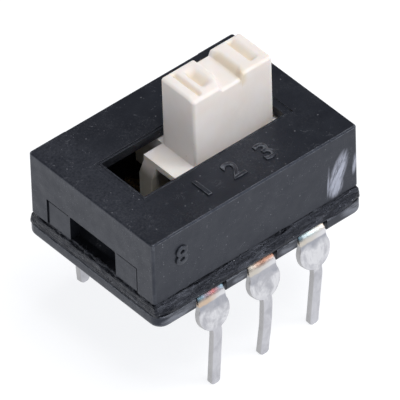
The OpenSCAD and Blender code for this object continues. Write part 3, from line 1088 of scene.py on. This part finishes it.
class NodeTree(Graph):
    """A geometry node tree with named inputs."""

    def __init__(self, name: str) -> None:
        """Starts a tree that takes and gives geometry."""
        super().__init__(bpy.data.node_groups.new(name, "GeometryNodeTree"))
        for way in ("INPUT", "OUTPUT"):
            self.tree.interface.new_socket("Geometry", in_out=way, socket_type="NodeSocketGeometry")
        self.entry, self.exit = self.add("NodeGroupInput"), self.add("NodeGroupOutput")

    def size(self, name: str, default: float) -> Socket:
        """Adds a named size to the tree's inputs and returns its socket."""
        item = self.tree.interface.new_socket(name, in_out="INPUT", socket_type="NodeSocketFloat")
        item.default_value = default
        return self.entry.outputs[name]

    def vector(self, operation: str, links: dict[int | str, object]) -> Socket:
        """Returns the vector result of a vector math node."""
        return self.add("ShaderNodeVectorMath", links, operation=operation).outputs[0]

    def limit(self, value: Socket) -> Socket:
        """Returns a value held between 0 and 1."""
        return self.math("MINIMUM", self.math("MAXIMUM", value, 0.0), 1.0)

    def close(self, geometry: Socket, material: Material) -> None:
        """Ends the tree with real geometry in one material."""
        real = self.add("GeometryNodeRealizeInstances", {"Geometry": geometry})
        dressed = self.add("GeometryNodeSetMaterial", {"Geometry": real.outputs[0], "Material": material})
        self.tree.links.new(dressed.outputs[0], self.exit.inputs[0])

    def run(self, carrier: Piece, **sizes: float) -> None:
        """Runs the tree on a carrier and leaves it as plain mesh.

        Args:
            carrier: The object that the modifier is put on.
            **sizes: The tree's inputs by name, with underscores for spaces.
        """
        step = carrier.modifiers.new(self.tree.name, "NODES")
        step.node_group = self.tree
        for item in self.tree.interface.items_tree:
            key = item.name.replace(" ", "_")
            if item.in_out == "INPUT" and key in sizes:
                step[item.identifier] = sizes[key]
        Bench.apply(carrier)


@dataclass
class SealBead:
    """The rough bead in the seam between base and housing, with crumbs of resin on it."""

    side_out: float = 0.25
    end_out: float = 0.03
    corner: float = 0.12
    corner_steps: int = 8
    lip_under: float = 0.6
    back: float = -0.14
    skin: float = -0.09
    skin_low: float = 0.47
    top_gap: float = 0.01
    slope: tuple[Point2, ...] = ((1.0, 0.0), (0.98, 0.07), (0.74, 0.17), (0.46, 0.29), (0.2, 0.4))
    step: float = 0.03
    section_step: float = 0.035
    taper: float = 0.7
    taper_share: float = 0.65
    ripple: float = 0.085
    ripple_gain: float = 4.0
    ripple_scale: float = 4.5
    ripple_detail: float = 4.0
    ripple_rough: float = 0.6
    ripple_middle: float = 0.6
    ripple_stretch: Triple = (0.24, 0.6, 1.0)
    rise_gain: float = 7.0
    end_zone: float = 0.06
    crack: float = 0.17
    end_calm: float = 0.85
    crumb: float = 0.026
    crumb_least: Triple = (0.4, 0.35, 0.35)
    crumb_most: Triple = (1.3, 0.9, 0.8)
    crumbs_per_mm2: float = 3.0
    spread_seed: int = 7
    size_seed: int = 11
    turn_seed: int = 5
    housing: Box = field(default_factory=lambda: Box.of("housing"))

    def section(self) -> Piece:
        """Returns the bead's section as a closed loop: outwards, and upwards from the lip."""
        tall = self.lip_under - self.top_gap
        corners = [(self.back, 0.0), *((share * self.side_out, v) for share, v in self.slope),
                   (self.skin, self.skin_low), (self.skin, tall), (self.back, tall)]
        edges = [(i, (i + 1) % len(corners)) for i in range(len(corners))]
        mesh = bpy.data.meshes.new("section")
        mesh.from_pydata([(u, -v, 0.0) for u, v in corners], edges, [])
        return Bench.linked("section", mesh)

    def tree(self, material: Material, loop: Piece) -> NodeTree:
        """Builds the node tree that sweeps the section round the seam, roughens it and strews crumbs on it.

        Args:
            material: The resin.
            loop: The section.

        Returns:
            The tree, with the inputs Length, Width, Corner, Height, End share, Ripple and Crumb.
        """
        net = NodeTree("seal_bead")
        size = self.housing.size
        sizes = {"Length": size.x, "Width": size.y, "Corner": self.corner, "Height": self.housing.low.z,
                 "End share": 1.0, "Ripple": self.ripple, "Crumb": self.crumb}
        length, width, corner, height, end_share, ripple, crumb = (net.size(*item) for item in sizes.items())
        sides = {"Width": length, "Height": width}
        turns = {"Count": self.corner_steps, "Radius": corner}
        seam = net.add("GeometryNodeCurvePrimitiveQuadrilateral", sides).outputs[0]
        seam = net.add("GeometryNodeFilletCurve", {"Curve": seam, **turns}, mode="POLY").outputs[0]
        seam = self.even(net, seam, self.step)
        seam = net.add("GeometryNodeSetCurveNormal", {"Curve": seam}, mode="Z_UP").outputs[0]
        outline = net.add("GeometryNodeObjectInfo", {"Object": loop}).outputs["Geometry"]
        outline = net.add("GeometryNodeMeshToCurve", {"Mesh": outline}).outputs[0]
        outline = self.even(net, outline, self.section_step)
        swept = net.add("GeometryNodeCurveToMesh", {"Curve": seam, "Profile Curve": outline}).outputs[0]
        lift = net.add("ShaderNodeCombineXYZ", {"Z": height}).outputs[0]
        raised = net.add("GeometryNodeTransform", {"Geometry": swept, "Translation": lift}).outputs[0]
        rough = self.roughen(net, self.narrow_ends(net, raised, length, end_share), ripple, height)
        both = net.add("GeometryNodeJoinGeometry")
        for part in (rough, self.crumbs(net, rough, crumb)):
            net.tree.links.new(part, both.inputs[0])
        net.close(both.outputs[0], material)
        return net

    @staticmethod
    def even(net: NodeTree, curve: Socket, step: float) -> Socket:
        """Returns a curve with its points an even step apart."""
        links = {"Curve": curve, "Length": step}
        return net.add("GeometryNodeResampleCurve", links, mode="LENGTH").outputs[0]

    def crumbs(self, net: NodeTree, mesh: Socket, crumb: Socket) -> Socket:
        """Strews crumbs on the bead and returns them."""
        points = net.add("GeometryNodeDistributePointsOnFaces", {
            "Mesh": mesh, "Density": self.crumbs_per_mm2, "Seed": self.spread_seed,
        }).outputs[0]
        grain = net.add("GeometryNodeMeshIcoSphere", {"Radius": crumb, "Subdivisions": 1}).outputs[0]
        sizes = {0: self.crumb_least, 1: self.crumb_most, "Seed": self.size_seed}
        turns = {0: ORIGIN, 1: (math.tau, math.tau, math.tau), "Seed": self.turn_seed}
        scale, turn = (
            net.add("FunctionNodeRandomValue", links, data_type="FLOAT_VECTOR").outputs[0]
            for links in (sizes, turns)
        )
        return net.add("GeometryNodeInstanceOnPoints", {
            "Points": points, "Instance": grain, "Scale": scale, "Rotation": turn,
        }).outputs[0]

    def narrow_ends(self, net: NodeTree, mesh: Socket, length: Socket, share: Socket) -> Socket:
        """Draws the bead in along the housing's ends and round its corners, and returns the result."""
        place = net.add("GeometryNodeInputPosition").outputs[0]
        x, y, z = net.add("ShaderNodeSeparateXYZ", {0: place}).outputs
        far, wide = net.math("ABSOLUTE", x), net.math("ABSOLUTE", y)
        half, side = net.times(length, 0.5), self.housing.high.y
        past = net.math("MAXIMUM", net.math("SUBTRACT", far, half), 0.0)
        held = net.math("ADD", net.math("MINIMUM", far, half), net.times(past, share))
        near = net.math("SUBTRACT", net.math("ADD", far, self.taper), half)
        near = net.limit(net.math("DIVIDE", near, self.taper))
        kept = net.math("SUBTRACT", 1.0, net.times(near, self.taper_share))
        over = net.times(net.math("MAXIMUM", net.math("SUBTRACT", wide, side), 0.0), kept)
        drawn = net.math("ADD", net.math("MINIMUM", wide, side), over)
        spot = {0: net.times(held, net.math("SIGN", x)), 1: net.times(drawn, net.math("SIGN", y)), 2: z}
        place = net.add("ShaderNodeCombineXYZ", spot).outputs[0]
        return net.add("GeometryNodeSetPosition", {"Geometry": mesh, "Position": place}).outputs[0]

    def roughen(self, net: NodeTree, mesh: Socket, ripple: Socket, height: Socket) -> Socket:
        """Pushes the bead's surface in and out, less along its foot, and returns the result."""
        place = net.add("GeometryNodeInputPosition").outputs[0]
        coarse = net.add("ShaderNodeTexNoise", {
            "Vector": net.vector("MULTIPLY", {0: place, 1: self.ripple_stretch}), "Scale": self.ripple_scale,
            "Detail": self.ripple_detail, "Roughness": self.ripple_rough,
        }).outputs[0]
        amount = net.math("SUBTRACT", coarse, self.ripple_middle)
        x, _, z = net.add("ShaderNodeSeparateXYZ", {0: place}).outputs
        rise = net.math("SUBTRACT", z, height)
        reach = net.math("MINIMUM", net.times(net.math("MAXIMUM", rise, 0.0), self.rise_gain), 1.0)
        end = net.math("GREATER_THAN", net.math("ABSOLUTE", x), self.housing.high.x - self.end_zone)
        low = net.math("LESS_THAN", rise, self.lip_under - self.crack)
        calm = net.math("SUBTRACT", 1.0, net.times(net.times(end, low), self.end_calm))
        push = net.times(net.times(amount, net.times(reach, calm)), net.times(ripple, self.ripple_gain))
        normal = net.add("GeometryNodeInputNormal").outputs[0]
        offset = net.vector("SCALE", {0: normal, "Scale": push})
        return net.add("GeometryNodeSetPosition", {"Geometry": mesh, "Offset": offset}).outputs[0]

    def build(self, material: Material) -> None:
        """Makes the bead and places it."""
        loop = self.section()
        carrier = Bench.linked("bead", bpy.data.meshes.new("bead"))
        size = self.housing.size
        self.tree(material, loop).run(
            carrier, Length=size.x, Width=size.y, Corner=self.corner, Ripple=self.ripple, Crumb=self.crumb,
            Height=self.housing.low.z - self.lip_under, End_share=self.end_out / self.side_out,
        )
        bpy.data.objects.remove(loop)
        with Bench.editing(carrier.data) as work:
            bmesh.ops.recalc_face_normals(work, faces=work.faces)
        carrier.data.shade_smooth()
        Bench.place(carrier, "sealing_bead", Body.FIXED, Slot.RESIN, material, ["seal_bead"])


# ---------------------------------------------------------------- Terminals


@dataclass
class Terminal:
    """One stamped and bent terminal: pad, strap, bend, round shoulder and pin."""

    node: str
    metal: float = 0.3
    strap: float = 1.32
    shoulder: float = 1.52
    pin: float = 0.45
    pin_length: float = 2.98
    pad_start: float = 1.15
    bend_radius: float = 0.4
    out_lean: float = 10.0
    in_lean: float = 4.6
    neck_turn: float = 0.25
    edge: float = 0.06
    tip_cut: float = 0.08
    sway: float = 0.0
    kink: float = 0.0
    blend: float = 0.03
    tip_power: float = 1.2
    step: float = 0.02
    strap_step: float = 0.1
    ring_steps: int = 3
    ring_places: tuple[float, ...] = (0.6, 0.2, -0.2, -0.6)
    cut_reach: float = 0.3
    wave: float = 0.008
    wave_scale: float = 1.7
    wave_start: Triple = (0.0, 0.0, 3.0)
    smooth_angle: float = 50.0
    edge_share_of_half: float = 0.8
    edge_share_of_metal: float = 0.45

    def outer_path(self, box: Box) -> list[Triple]:
        """Returns the outer face's path as (distance out, height, heading below level in radians)."""
        down = math.radians(90.0 - self.out_lean)
        inwards = math.radians(90.0 + self.in_lean)
        turns = [(0.0, 0.0, 0.0), (self.bend_radius * down, 0.0, down)]
        bend_drop = self.bend_radius * (1 - math.cos(down))
        straight = (box.size.z - bend_drop - self.pin_length + self.neck_turn / 2) / math.sin(down)
        turns += [(straight, down, down), (self.neck_turn, down, inwards)]
        path = self.walk(turns, box.high.z)
        rest = path[-1][1] / math.sin(inwards)
        path += self.walk([(rest, inwards, inwards)], path[-1][1], path[-1][0])[1:]
        shift = abs(box.low.y if box.centre.y < 0 else box.high.y) - max(p[0] for p in path)
        steps = range(int((shift - self.pad_start) / self.strap_step))
        strap = [(self.pad_start + i * self.strap_step, box.high.z, 0.0) for i in steps]
        return strap + [(y + shift, z, heading) for y, z, heading in path]

    def walk(self, legs: Sequence[Triple], z: float, y: float = 0.0) -> list[Triple]:
        """Follows legs of (length, first heading, last heading) in short steps.

        Args:
            legs: The legs.
            z: Height of the start.
            y: Distance out of the start.

        Returns:
            Every point passed, as (distance out, height, heading).
        """
        points = [(y, z, legs[0][1])]
        for length, start, end in legs:
            steps = max(1, math.ceil(length / self.step))
            for i in range(steps):
                heading = start + (end - start) * (i + 0.5) / steps
                y += length / steps * math.cos(heading)
                z -= length / steps * math.sin(heading)
                points.append((y, z, start + (end - start) * (i + 1) / steps))
        return points

    def half_width(self, z: float) -> float:
        """Returns half the sheet's width at a height on the outer face."""
        radius = self.shoulder / 2
        centre = self.pin_length + math.sqrt(radius**2 - (self.pin / 2) ** 2)
        disc = math.sqrt(max(radius**2 - (z - centre) ** 2, 0.0))
        other = self.strap / 2 if z > centre else self.pin / 2
        wide = (disc + other + math.hypot(disc - other, self.blend)) / 2
        return min(wide, radius) - self.tip_cut * max(0.0, 1 - z / self.tip_cut) ** self.tip_power

    def ring(self, half: float) -> list[Point2]:
        """Returns the section of the sheet as (across, below the outer face), with round corners."""
        r = min(self.edge, half * self.edge_share_of_half, self.metal * self.edge_share_of_metal)
        points = []
        for quarter, (sx, sy) in enumerate(QUARTERS):
            for i in range(self.ring_steps + 1):
                angle = math.pi / 2 * (quarter + i / self.ring_steps)
                points.append((
                    sx * (half - r) + r * math.cos(angle),
                    self.metal / 2 - sy * (self.metal / 2 - r) - r * math.sin(angle),
                ))
            if sx == sy:
                points += [(sx * k * (half - r), 0.0 if sx > 0 else self.metal) for k in self.ring_places]
        return points

    def build(self, material: Material) -> None:
        """Makes the terminal and places it."""
        box = Box.of(self.node)
        side = -1 if box.centre.y < 0 else 1
        points, cut, path = [], [], self.outer_path(box)
        for out, height, heading in path:
            up, level = math.cos(heading), math.sin(heading)
            drop = max(0.0, 1 - height / self.pin_length)
            bent = self.sway * drop + self.kink * math.sin(math.pi * drop) ** 2
            half = self.half_width(height)
            for across, depth in self.ring(half):
                x, y = box.centre.x + across + bent, side * (out - depth * level)
                points.append((x, y, height - depth * up))
                # The cut side faces are marked for the painted shade.
                cut.append(1.0 if abs(abs(across) - half) < self.edge * self.cut_reach else 0.0)
        rings, n = len(path), len(points) // len(path)
        faces = [
            (r * n + i, r * n + (i + 1) % n, (r + 1) * n + (i + 1) % n, (r + 1) * n + i)
            for r in range(rings - 1) for i in range(n)
        ]
        faces += [tuple(range(n)), tuple(range((rings - 1) * n, rings * n))]
        bent_sheet = Bench.mesh_object(self.node, [self.settle(p, box) for p in points], faces)
        mark = bent_sheet.data.attributes.new("edge", "FLOAT", "POINT")
        mark.data.foreach_set("value", cut)
        Bench.smooth(bent_sheet, self.smooth_angle, weighted=False)
        Bench.place(bent_sheet, self.node + "_blade", Body.FIXED, Slot.TERMINAL, material, [self.node])

    def settle(self, point: Triple, box: Box) -> Triple:
        """Roughens a point by a few microns, and keeps it inside the terminal's own box."""
        wave = noise.noise_vector(Vector(point) * self.wave_scale + Vector(self.wave_start)) * self.wave
        moved = Vector(point) + wave
        return tuple(min(max(m, low), high) for m, low, high in zip(moved, box.low, box.high))


# ---------------------------------------------------------------- Slider


@dataclass
class Hollow:
    """A hollow in the knob's top, in millimetres from its left end and from its rear edge."""

    start: float
    deepest: float
    end: float
    depth: float
    rear: float
    front: float
    fade: float = 0.22

    def at(self, along: float, across: float) -> float:
        """Returns the hollow's depth at a point."""
        if not self.start < along < self.end:
            return 0.0
        if along < self.deepest:
            share = (along - self.start) / (self.deepest - self.start)
        else:
            share = (self.end - along) / (self.end - self.deepest)
        inside = min(ease((across - self.rear) / self.fade), ease((self.front - across) / self.fade))
        return self.depth * ease(share) * inside


def ease(share: float) -> float:
    """Returns a smooth step from 0 to 1."""
    share = min(max(share, 0.0), 1.0)
    return share * share * (3 - 2 * share)


@dataclass
class Slider:
    """The one-piece white slider: knob with finger grooves and valley, step plate, rib and wings."""

    knob: tuple[float, float] = (3.96, 1.92)
    knob_edge: float = 0.13
    plate: float = 0.28
    plate_half: float = 2.93
    rib: float = 0.72
    rib_slope: float = 0.45
    wing_half: float = 2.62
    wing_height: float = 2.0
    housing_top: float = 0.4
    running_top: float = 0.45
    running_low: float = 0.55
    overlap: float = 0.001
    edge: float = 0.03
    turn_steps: int = 4
    squeeze: float = 0.9
    wave: float = 0.006
    wave_scale: float = 1.5
    wave_layer: float = 2.0
    recess_zone: float = 0.5
    foot_shift: float = 0.08
    foot_reach: float = 0.3
    foot_start: float = 0.1
    smooth_angle: float = 42.0
    cells: tuple[int, int, int] = (124, 44, 12)
    hollows: tuple[Hollow, ...] = (
        Hollow(0.36, 0.48, 0.68, 0.11, 0.06, 1.8),
        Hollow(0.80, 0.92, 1.46, 0.16, 0.26, 1.6, 0.42),
        Hollow(3.12, 3.25, 3.66, 0.14, 0.02, 1.62, 0.2),
    )
    valley: tuple[float, float, float, float] = (1.56, 1.78, 2.38, 2.5)
    valley_depth: float = 0.24
    valley_power: float = 1.7
    crest_turn: float = 0.27
    crest_span: Point2 = (1.0, 0.9)
    scoop: float = 0.22
    scoop_from: Point2 = (0.12, 0.3)
    scoop_to: Point2 = (1.76, 0.3)
    front_fall: float = 0.06
    fall_span: Point2 = (1.5, 0.42)
    fall_fade: float = 0.3
    box: Box = field(default_factory=lambda: Box.of("slider"))
    housing: Box = field(default_factory=lambda: Box.of("housing"))

    def depth(self, along: float, across: float) -> float:
        """Returns how far the knob's top lies below its highest plane.

        Args:
            along: Distance from the knob's left end.
            across: Distance from the knob's rear edge.

        Returns:
            The depth, in millimetres.
        """
        a, b, c, d = self.valley
        turn = self.crest_turn * ease((across - self.crest_span[0]) / self.crest_span[1])
        scoop_in = ease((across - self.scoop_from[0]) / self.scoop_from[1])
        scoop_out = ease((self.scoop_to[0] - across) / self.scoop_to[1])
        wide = d + self.scoop * scoop_in * scoop_out
        rise = 1 - min(max((along - c) / (wide - c), 0.0), 1.0)
        valley = self.valley_depth * min(ease((along - a + turn) / (b - a)), rise**self.valley_power)
        worked = sum(h.at(along, across) for h in self.hollows)
        fall = ease((across - self.fall_span[0]) / self.fall_span[1]) * ease((a - along) / self.fall_fade)
        wave_place = Vector((along * self.wave_scale, across * self.wave_scale, self.wave_layer))
        wave = self.wave * noise.noise(wave_place)
        return max(valley + worked + self.front_fall * fall + wave, 0.0)

    def stations(self, low: float, high: float, cells: int) -> list[float]:
        """Returns places along one side of the knob, close together where its edges are round."""
        r, steps = self.knob_edge, self.turn_steps
        turn = [r * (1 - math.tan(math.pi / 4 * (1 - i / steps))) for i in range(steps)]
        middle = [low + r + (high - low - 2 * r) * i / cells for i in range(cells + 1)]
        return [low + t for t in turn] + middle + [high - t for t in reversed(turn)]

    def knob_block(self) -> Piece:
        """Returns the knob, round at its edges and worked on its top."""
        centre, r = self.box.centre, self.knob_edge
        low = Vector((centre.x - self.knob[0] / 2, -self.knob[1] / 2, self.plate_low()))
        high = Vector((centre.x + self.knob[0] / 2, self.knob[1] / 2, self.box.high.z))
        axes = [self.stations(low[k], high[k], self.cells[k]) for k in range(3)]
        last = [len(axis) - 1 for axis in axes]
        numbers: dict[tuple[int, int, int], int] = {}
        points: list[Triple] = []

        def corner(key: tuple[int, int, int]) -> int:
            """Returns the number of a surface point, and makes the point when it is first met."""
            if key not in numbers:
                raw = Vector([axes[k][key[k]] for k in range(3)])
                core = Vector([min(max(raw[k], low[k] + r), high[k] - r) for k in range(3)])
                off = raw - core
                spot = core + off.normalized() * r if off.length > 0 else raw
                share = min(max((spot.z - (high.z - self.squeeze)) / (self.squeeze - r), 0.0), 1.0)
                spot.z -= share * self.depth(spot.x - low.x, high.y - spot.y)
                numbers[key] = len(points)
                points.append(tuple(spot))
            return numbers[key]

        faces = []
        for k in range(3):
            i, j = [n for n in range(3) if n != k]
            for end in (0, last[k]):
                for a in range(last[i]):
                    for b in range(last[j]):
                        cell = []
                        for da, db in ((0, 0), (1, 0), (1, 1), (0, 1)):
                            key = [0, 0, 0]
                            key[k], key[i], key[j] = end, a + da, b + db
                            cell.append(corner(tuple(key)))
                        faces.append(cell)
        return Bench.mesh_object("knob", points, faces)

    def plate_high(self) -> float:
        """Returns the height of the step plate's upper face."""
        return self.housing.high.z - self.running_top

    def plate_low(self) -> float:
        """Returns the height of the step plate's lower face."""
        return self.plate_high() - self.plate

    def carriage(self) -> Piece:
        """Returns the part that runs inside the housing: core, step plate, rib and wings."""
        x, half_l, half_w = self.box.centre.x, self.knob[0] / 2, self.knob[1] / 2
        core_low, top = Box.of("base").low.z + self.running_low, self.plate_high()
        wing_low = self.housing.high.z - self.housing_top - self.wing_height
        frame_part = Bench.block((x - half_l, -half_w, core_low), (x + half_l, half_w, top))
        more = [
            Bench.block((x - self.plate_half, -half_w, self.plate_low()), (x + self.plate_half, half_w, top)),
            self.rib_solid(x, half_w, core_low),
            Bench.block((x - half_l, -self.wing_half, wing_low), (x + half_l, self.wing_half, top)),
        ]
        for solid in more:
            Bench.combine(frame_part, solid, Join.FUSE)
        Bench.soften(frame_part, self.edge)
        return frame_part

    def rib_solid(self, x: float, side: float, low: float) -> Piece:
        """Returns the rib under the step plate, sloped at both of its ends.

        Args:
            x: Middle of the slider.
            side: Distance from the middle line to the rib's outer face.
            low: Height of its lower face.

        Returns:
            The rib.
        """
        left, right, top = self.box.low.x, self.box.high.x, self.plate_low()
        shoulder, top = top - self.rib_slope, top + self.overlap
        outline = [(left, low), (right, low), (right, shoulder), (x + self.plate_half, top),
                   (x - self.plate_half, top), (left, shoulder)]
        rib = Bench.prism(outline, -side, self.rib - side, Axis.Y)
        rib.data.transform(Matrix.Scale(-1, 4, (0, 1, 0)))
        rib.data.flip_normals()
        return rib

    def build(self, material: Material) -> None:
        """Makes the slider and places it."""
        whole = self.carriage()
        Bench.combine(whole, self.knob_block(), Join.FUSE)
        mesh = whole.data
        # This attribute carries painted shade: it marks the knob's hollows and the foot of the valley's right
        # flank, which the ivory paints yellower as shade and specks with dirt.
        recess = mesh.attributes.new("recess", "FLOAT", "POINT")
        left, rear = self.box.centre.x - self.knob[0] / 2, self.knob[1] / 2
        for i, vertex in enumerate(mesh.vertices):
            spot = vertex.co
            if spot.z > self.box.high.z - self.recess_zone:
                along, across = spot.x - left, rear - spot.y
                worked = sum(h.at(along, across) / h.depth for h in self.hollows)
                # The foot of the valley's right flank is marked too, for painted shade.
                off_foot = abs(along - self.valley[2] - self.foot_shift)
                foot = ease(1 - off_foot / self.foot_reach)
                foot *= ease((across - self.foot_start) / self.foot_reach)
                recess.data[i].value = min(worked + foot, 1.0)
        Bench.smooth(whole, self.smooth_angle)
        Bench.place(whole, "slider_moulding", Body.SLIDER, Slot.KNOB, material, ["slider"])


# ---------------------------------------------------------------- Studio


@dataclass(frozen=True)
class SoftBox:
    """A square soft light, in millimetres and watts."""

    name: str
    place: Triple
    side: float
    power: float
    colour: Colour = (1.0, 1.0, 1.0)

    def build(self, target: Vector) -> None:
        """Makes the light and points it at the object."""
        data = bpy.data.lights.new(self.name, "AREA")
        data.shape = "SQUARE"
        data.size = self.side * MM
        data.energy = self.power
        data.color = self.colour
        lamp = Bench.linked(self.name, data)
        lamp.location = Vector(self.place) * MM
        lamp.rotation_euler = (target - lamp.location).to_track_quat("-Z", "Y").to_euler()


@dataclass
class Studio:
    """A pale floor, a sky that is dark high up behind the object, and soft lights."""

    floor_half: float = 3000.0
    sky_low: Colour = (0.55, 0.55, 0.57)
    sky_high: Colour = (0.2, 0.2, 0.215)
    sky_span: tuple[float, float] = (0.1, 0.42)
    lights: tuple[SoftBox, ...] = (
        SoftBox("key_light", (40.0, -110.0, 420.0), 260.0, 1.6, (1.0, 0.985, 0.97)),
        SoftBox("front_light", (330.0, -330.0, 250.0), 240.0, 0.7),
    )

    def sky(self) -> None:
        """Makes the world, pale near the horizon and darker above."""
        world = bpy.data.worlds.new("studio_sky")
        world.use_nodes = True
        graph = Graph(world.node_tree)
        graph.tree.nodes.clear()
        place = graph.add("ShaderNodeTexCoord").outputs["Generated"]
        height = graph.add("ShaderNodeSeparateXYZ", {0: place}).outputs[2]
        ramp = graph.add("ShaderNodeValToRGB", {"Fac": height})
        for element, at, shade in zip(ramp.color_ramp.elements, self.sky_span, (self.sky_low, self.sky_high)):
            element.position = at
            element.color = (*shade, 1.0)
        sky = graph.add("ShaderNodeBackground", {"Color": ramp.outputs["Color"]}).outputs[0]
        graph.add("ShaderNodeOutputWorld", {"Surface": sky})
        bpy.context.scene.world = world

    def build(self) -> None:
        """Makes the floor, the sky and the lights."""
        self.sky()
        side = self.floor_half
        corners = [(side * x, side * y, 0.0) for x, y in (*QUARTERS[2:], *QUARTERS[:2])]
        floor = Bench.mesh_object("floor", corners, [(0, 1, 2, 3)])
        floor.data.transform(Matrix.Scale(MM, 4))
        floor.data.materials.append(StudioFloor().material())
        target = (CAD_BOX[0] + CAD_BOX[1]) / 2
        for light in self.lights:
            light.build(target)
        bpy.context.scene.view_settings.view_transform = "Standard"


@dataclass(frozen=True)
class CameraRig:
    """A long lens that looks down on the front left corner."""

    azimuth: float = -39.417
    elevation: float = 42.009
    roll: float = -1.901
    distance: float = 355.045
    target: Triple = (0.0, 0.0, 6.2)
    slide: tuple[float, float] = (0.2193, -0.7435)
    lens: float = 837.8
    far: float = 10.0

    def build(self) -> None:
        """Makes the camera and gives it to the scene."""
        az, el, roll = (math.radians(a) for a in (self.azimuth, self.elevation, self.roll))
        back = Vector((math.sin(az) * math.cos(el), -math.cos(az) * math.cos(el), math.sin(el)))
        right = Vector((math.cos(az), math.sin(az), 0.0))
        up = back.cross(right)
        turned = math.cos(roll) * right + math.sin(roll) * up
        top = -math.sin(roll) * right + math.cos(roll) * up
        data = bpy.data.cameras.new("camera")
        data.lens = self.lens
        data.clip_start, data.clip_end = MM, self.far
        camera = Bench.linked("camera", data)
        spot = Vector(self.target) + back * self.distance + turned * self.slide[0] + top * self.slide[1]
        axes = Matrix((turned, top, back)).transposed().to_4x4()
        camera.matrix_world = Matrix.Translation(spot * MM) @ axes
        bpy.context.scene.camera = camera


# ---------------------------------------------------------------- Assembly


BLUE: Colour = (0.16, 0.25, 0.31)
PINK: Colour = (0.36, 0.13, 0.13)
COPPER: Colour = (0.34, 0.19, 0.14)
CREAM: Colour = (0.58, 0.54, 0.48)
PEACH: Colour = (0.60, 0.47, 0.36)
TIN: Colour = (0.66, 0.66, 0.68)

FRONT_TINTS = {
    "left": ((BLUE, PINK, BLUE), PEACH),
    "centre": ((CREAM, COPPER, COPPER), CREAM),
    "right": ((BLUE, (0.56, 0.66, 0.68), (0.70, 0.62, 0.54)), CREAM),
}


def dress_terminals() -> None:
    """Builds the six terminals, each with its own stains and heat colours."""
    for row in ("front", "rear"):
        for place in ("left", "centre", "right"):
            node = f"terminal_{row}_{place}"
            x = Box.of(node).centre.x
            if row == "front":
                tints, under = FRONT_TINTS[place]
            else:
                tints, under = (COPPER, TIN, BLUE), CREAM
            spots: tuple[Scuff, ...] = ()
            shape = Terminal(node)
            if node == "terminal_front_centre":
                spots = (Scuff((x + 0.05, -4.1, 2.3), (0.3, 0.6, 0.22)),)
                shape = Terminal(node, sway=-0.08, kink=0.04)
            elif node == "terminal_front_right":
                shape = Terminal(node, sway=-0.09)
            finish = TinnedBrass(f"tin_{row}_{place}", x, tints, under, spots=spots)
            shape.build(finish.material())


def dress_springs() -> None:
    """Gives the contact clips and the detent spring, which stay as packed, their metals."""
    bronze = SpringMetal("spring_bronze", (0.80, 0.55, 0.26), (0.45, 0.28, 0.12)).material()
    steel = SpringMetal("spring_steel", (0.62, 0.62, 0.64), (0.4, 0.4, 0.42)).material()
    for node, metal, slot in (
        ("contact_clip_front", bronze, Slot.CLIP),
        ("contact_clip_rear", bronze, Slot.CLIP),
        ("detent_spring", steel, Slot.LEAF),
    ):
        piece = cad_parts[node]
        piece.data.materials.clear()
        piece.data.materials.append(metal)
        LOG.info("%s: packed shape in %s", node, metal.name)


def main() -> None:
    """Builds the camera, the studio and every piece."""
    logging.basicConfig(level=logging.INFO, format="%(name)s: %(message)s")
    noise.seed_set(WAVE_SEED)
    CameraRig().build()
    Studio().build()
    shell = BlackMoulding(
        "black_moulding",
        scuffs_and_sheen=(
            Scuff((4.12, -3.6, 6.5), (0.42, 0.5, 1.15), (0.0, 22.0, 0.0)),
            Scuff((4.0, -3.6, 5.85), (0.40, 0.5, 0.55), (0.0, 12.0, 0.0), 0.9),
            Scuff((4.95, -3.6, 6.5), (0.12, 0.5, 0.6), (0.0, 6.0, 0.0), 0.8),
            Scuff((3.62, -3.6, 6.3), (0.06, 0.5, 0.9), (0.0, 4.0, 0.0), 0.6),
            # Painted sheen: this faint pale patch over the top's left end stands in for a broad reflection.
            Scuff((-4.6, 0.6, 8.35), (2.2, 4.6, 0.6), (0.0, 0.0, 0.0), 0.035),
        ),
    ).material()
    HousingShell().build(shell)
    Numerals().build(shell)
    base = BlackMoulding(
        "base_moulding",
        worn_above=3.5,
        roughness=(0.26, 0.42),
        lint=0.8,
        rubbed_and_sheen=(0.17, 0.18, 0.205),
        scuffs_and_sheen=(
            Scuff((-4.2, -3.88, 4.5), (0.24, 0.4, 0.9), (0.0, 86.0, 0.0)),
            Scuff((4.6, -3.88, 4.55), (0.26, 0.4, 0.7), (0.0, 94.0, 0.0)),
            Scuff((-1.15, -3.88, 4.5), (0.2, 0.4, 0.4), (0.0, 88.0, 0.0), 0.8),
            Scuff((1.3, -3.88, 4.5), (0.2, 0.4, 0.5), (0.0, 92.0, 0.0), 0.8),
        ),
    ).material()
    BaseTray().build(base)
    SealBead().build(SealingResin().material())
    dress_terminals()
    Slider().build(IvoryMoulding().material())
    dress_springs()


if __name__ == "__main__":
    main()
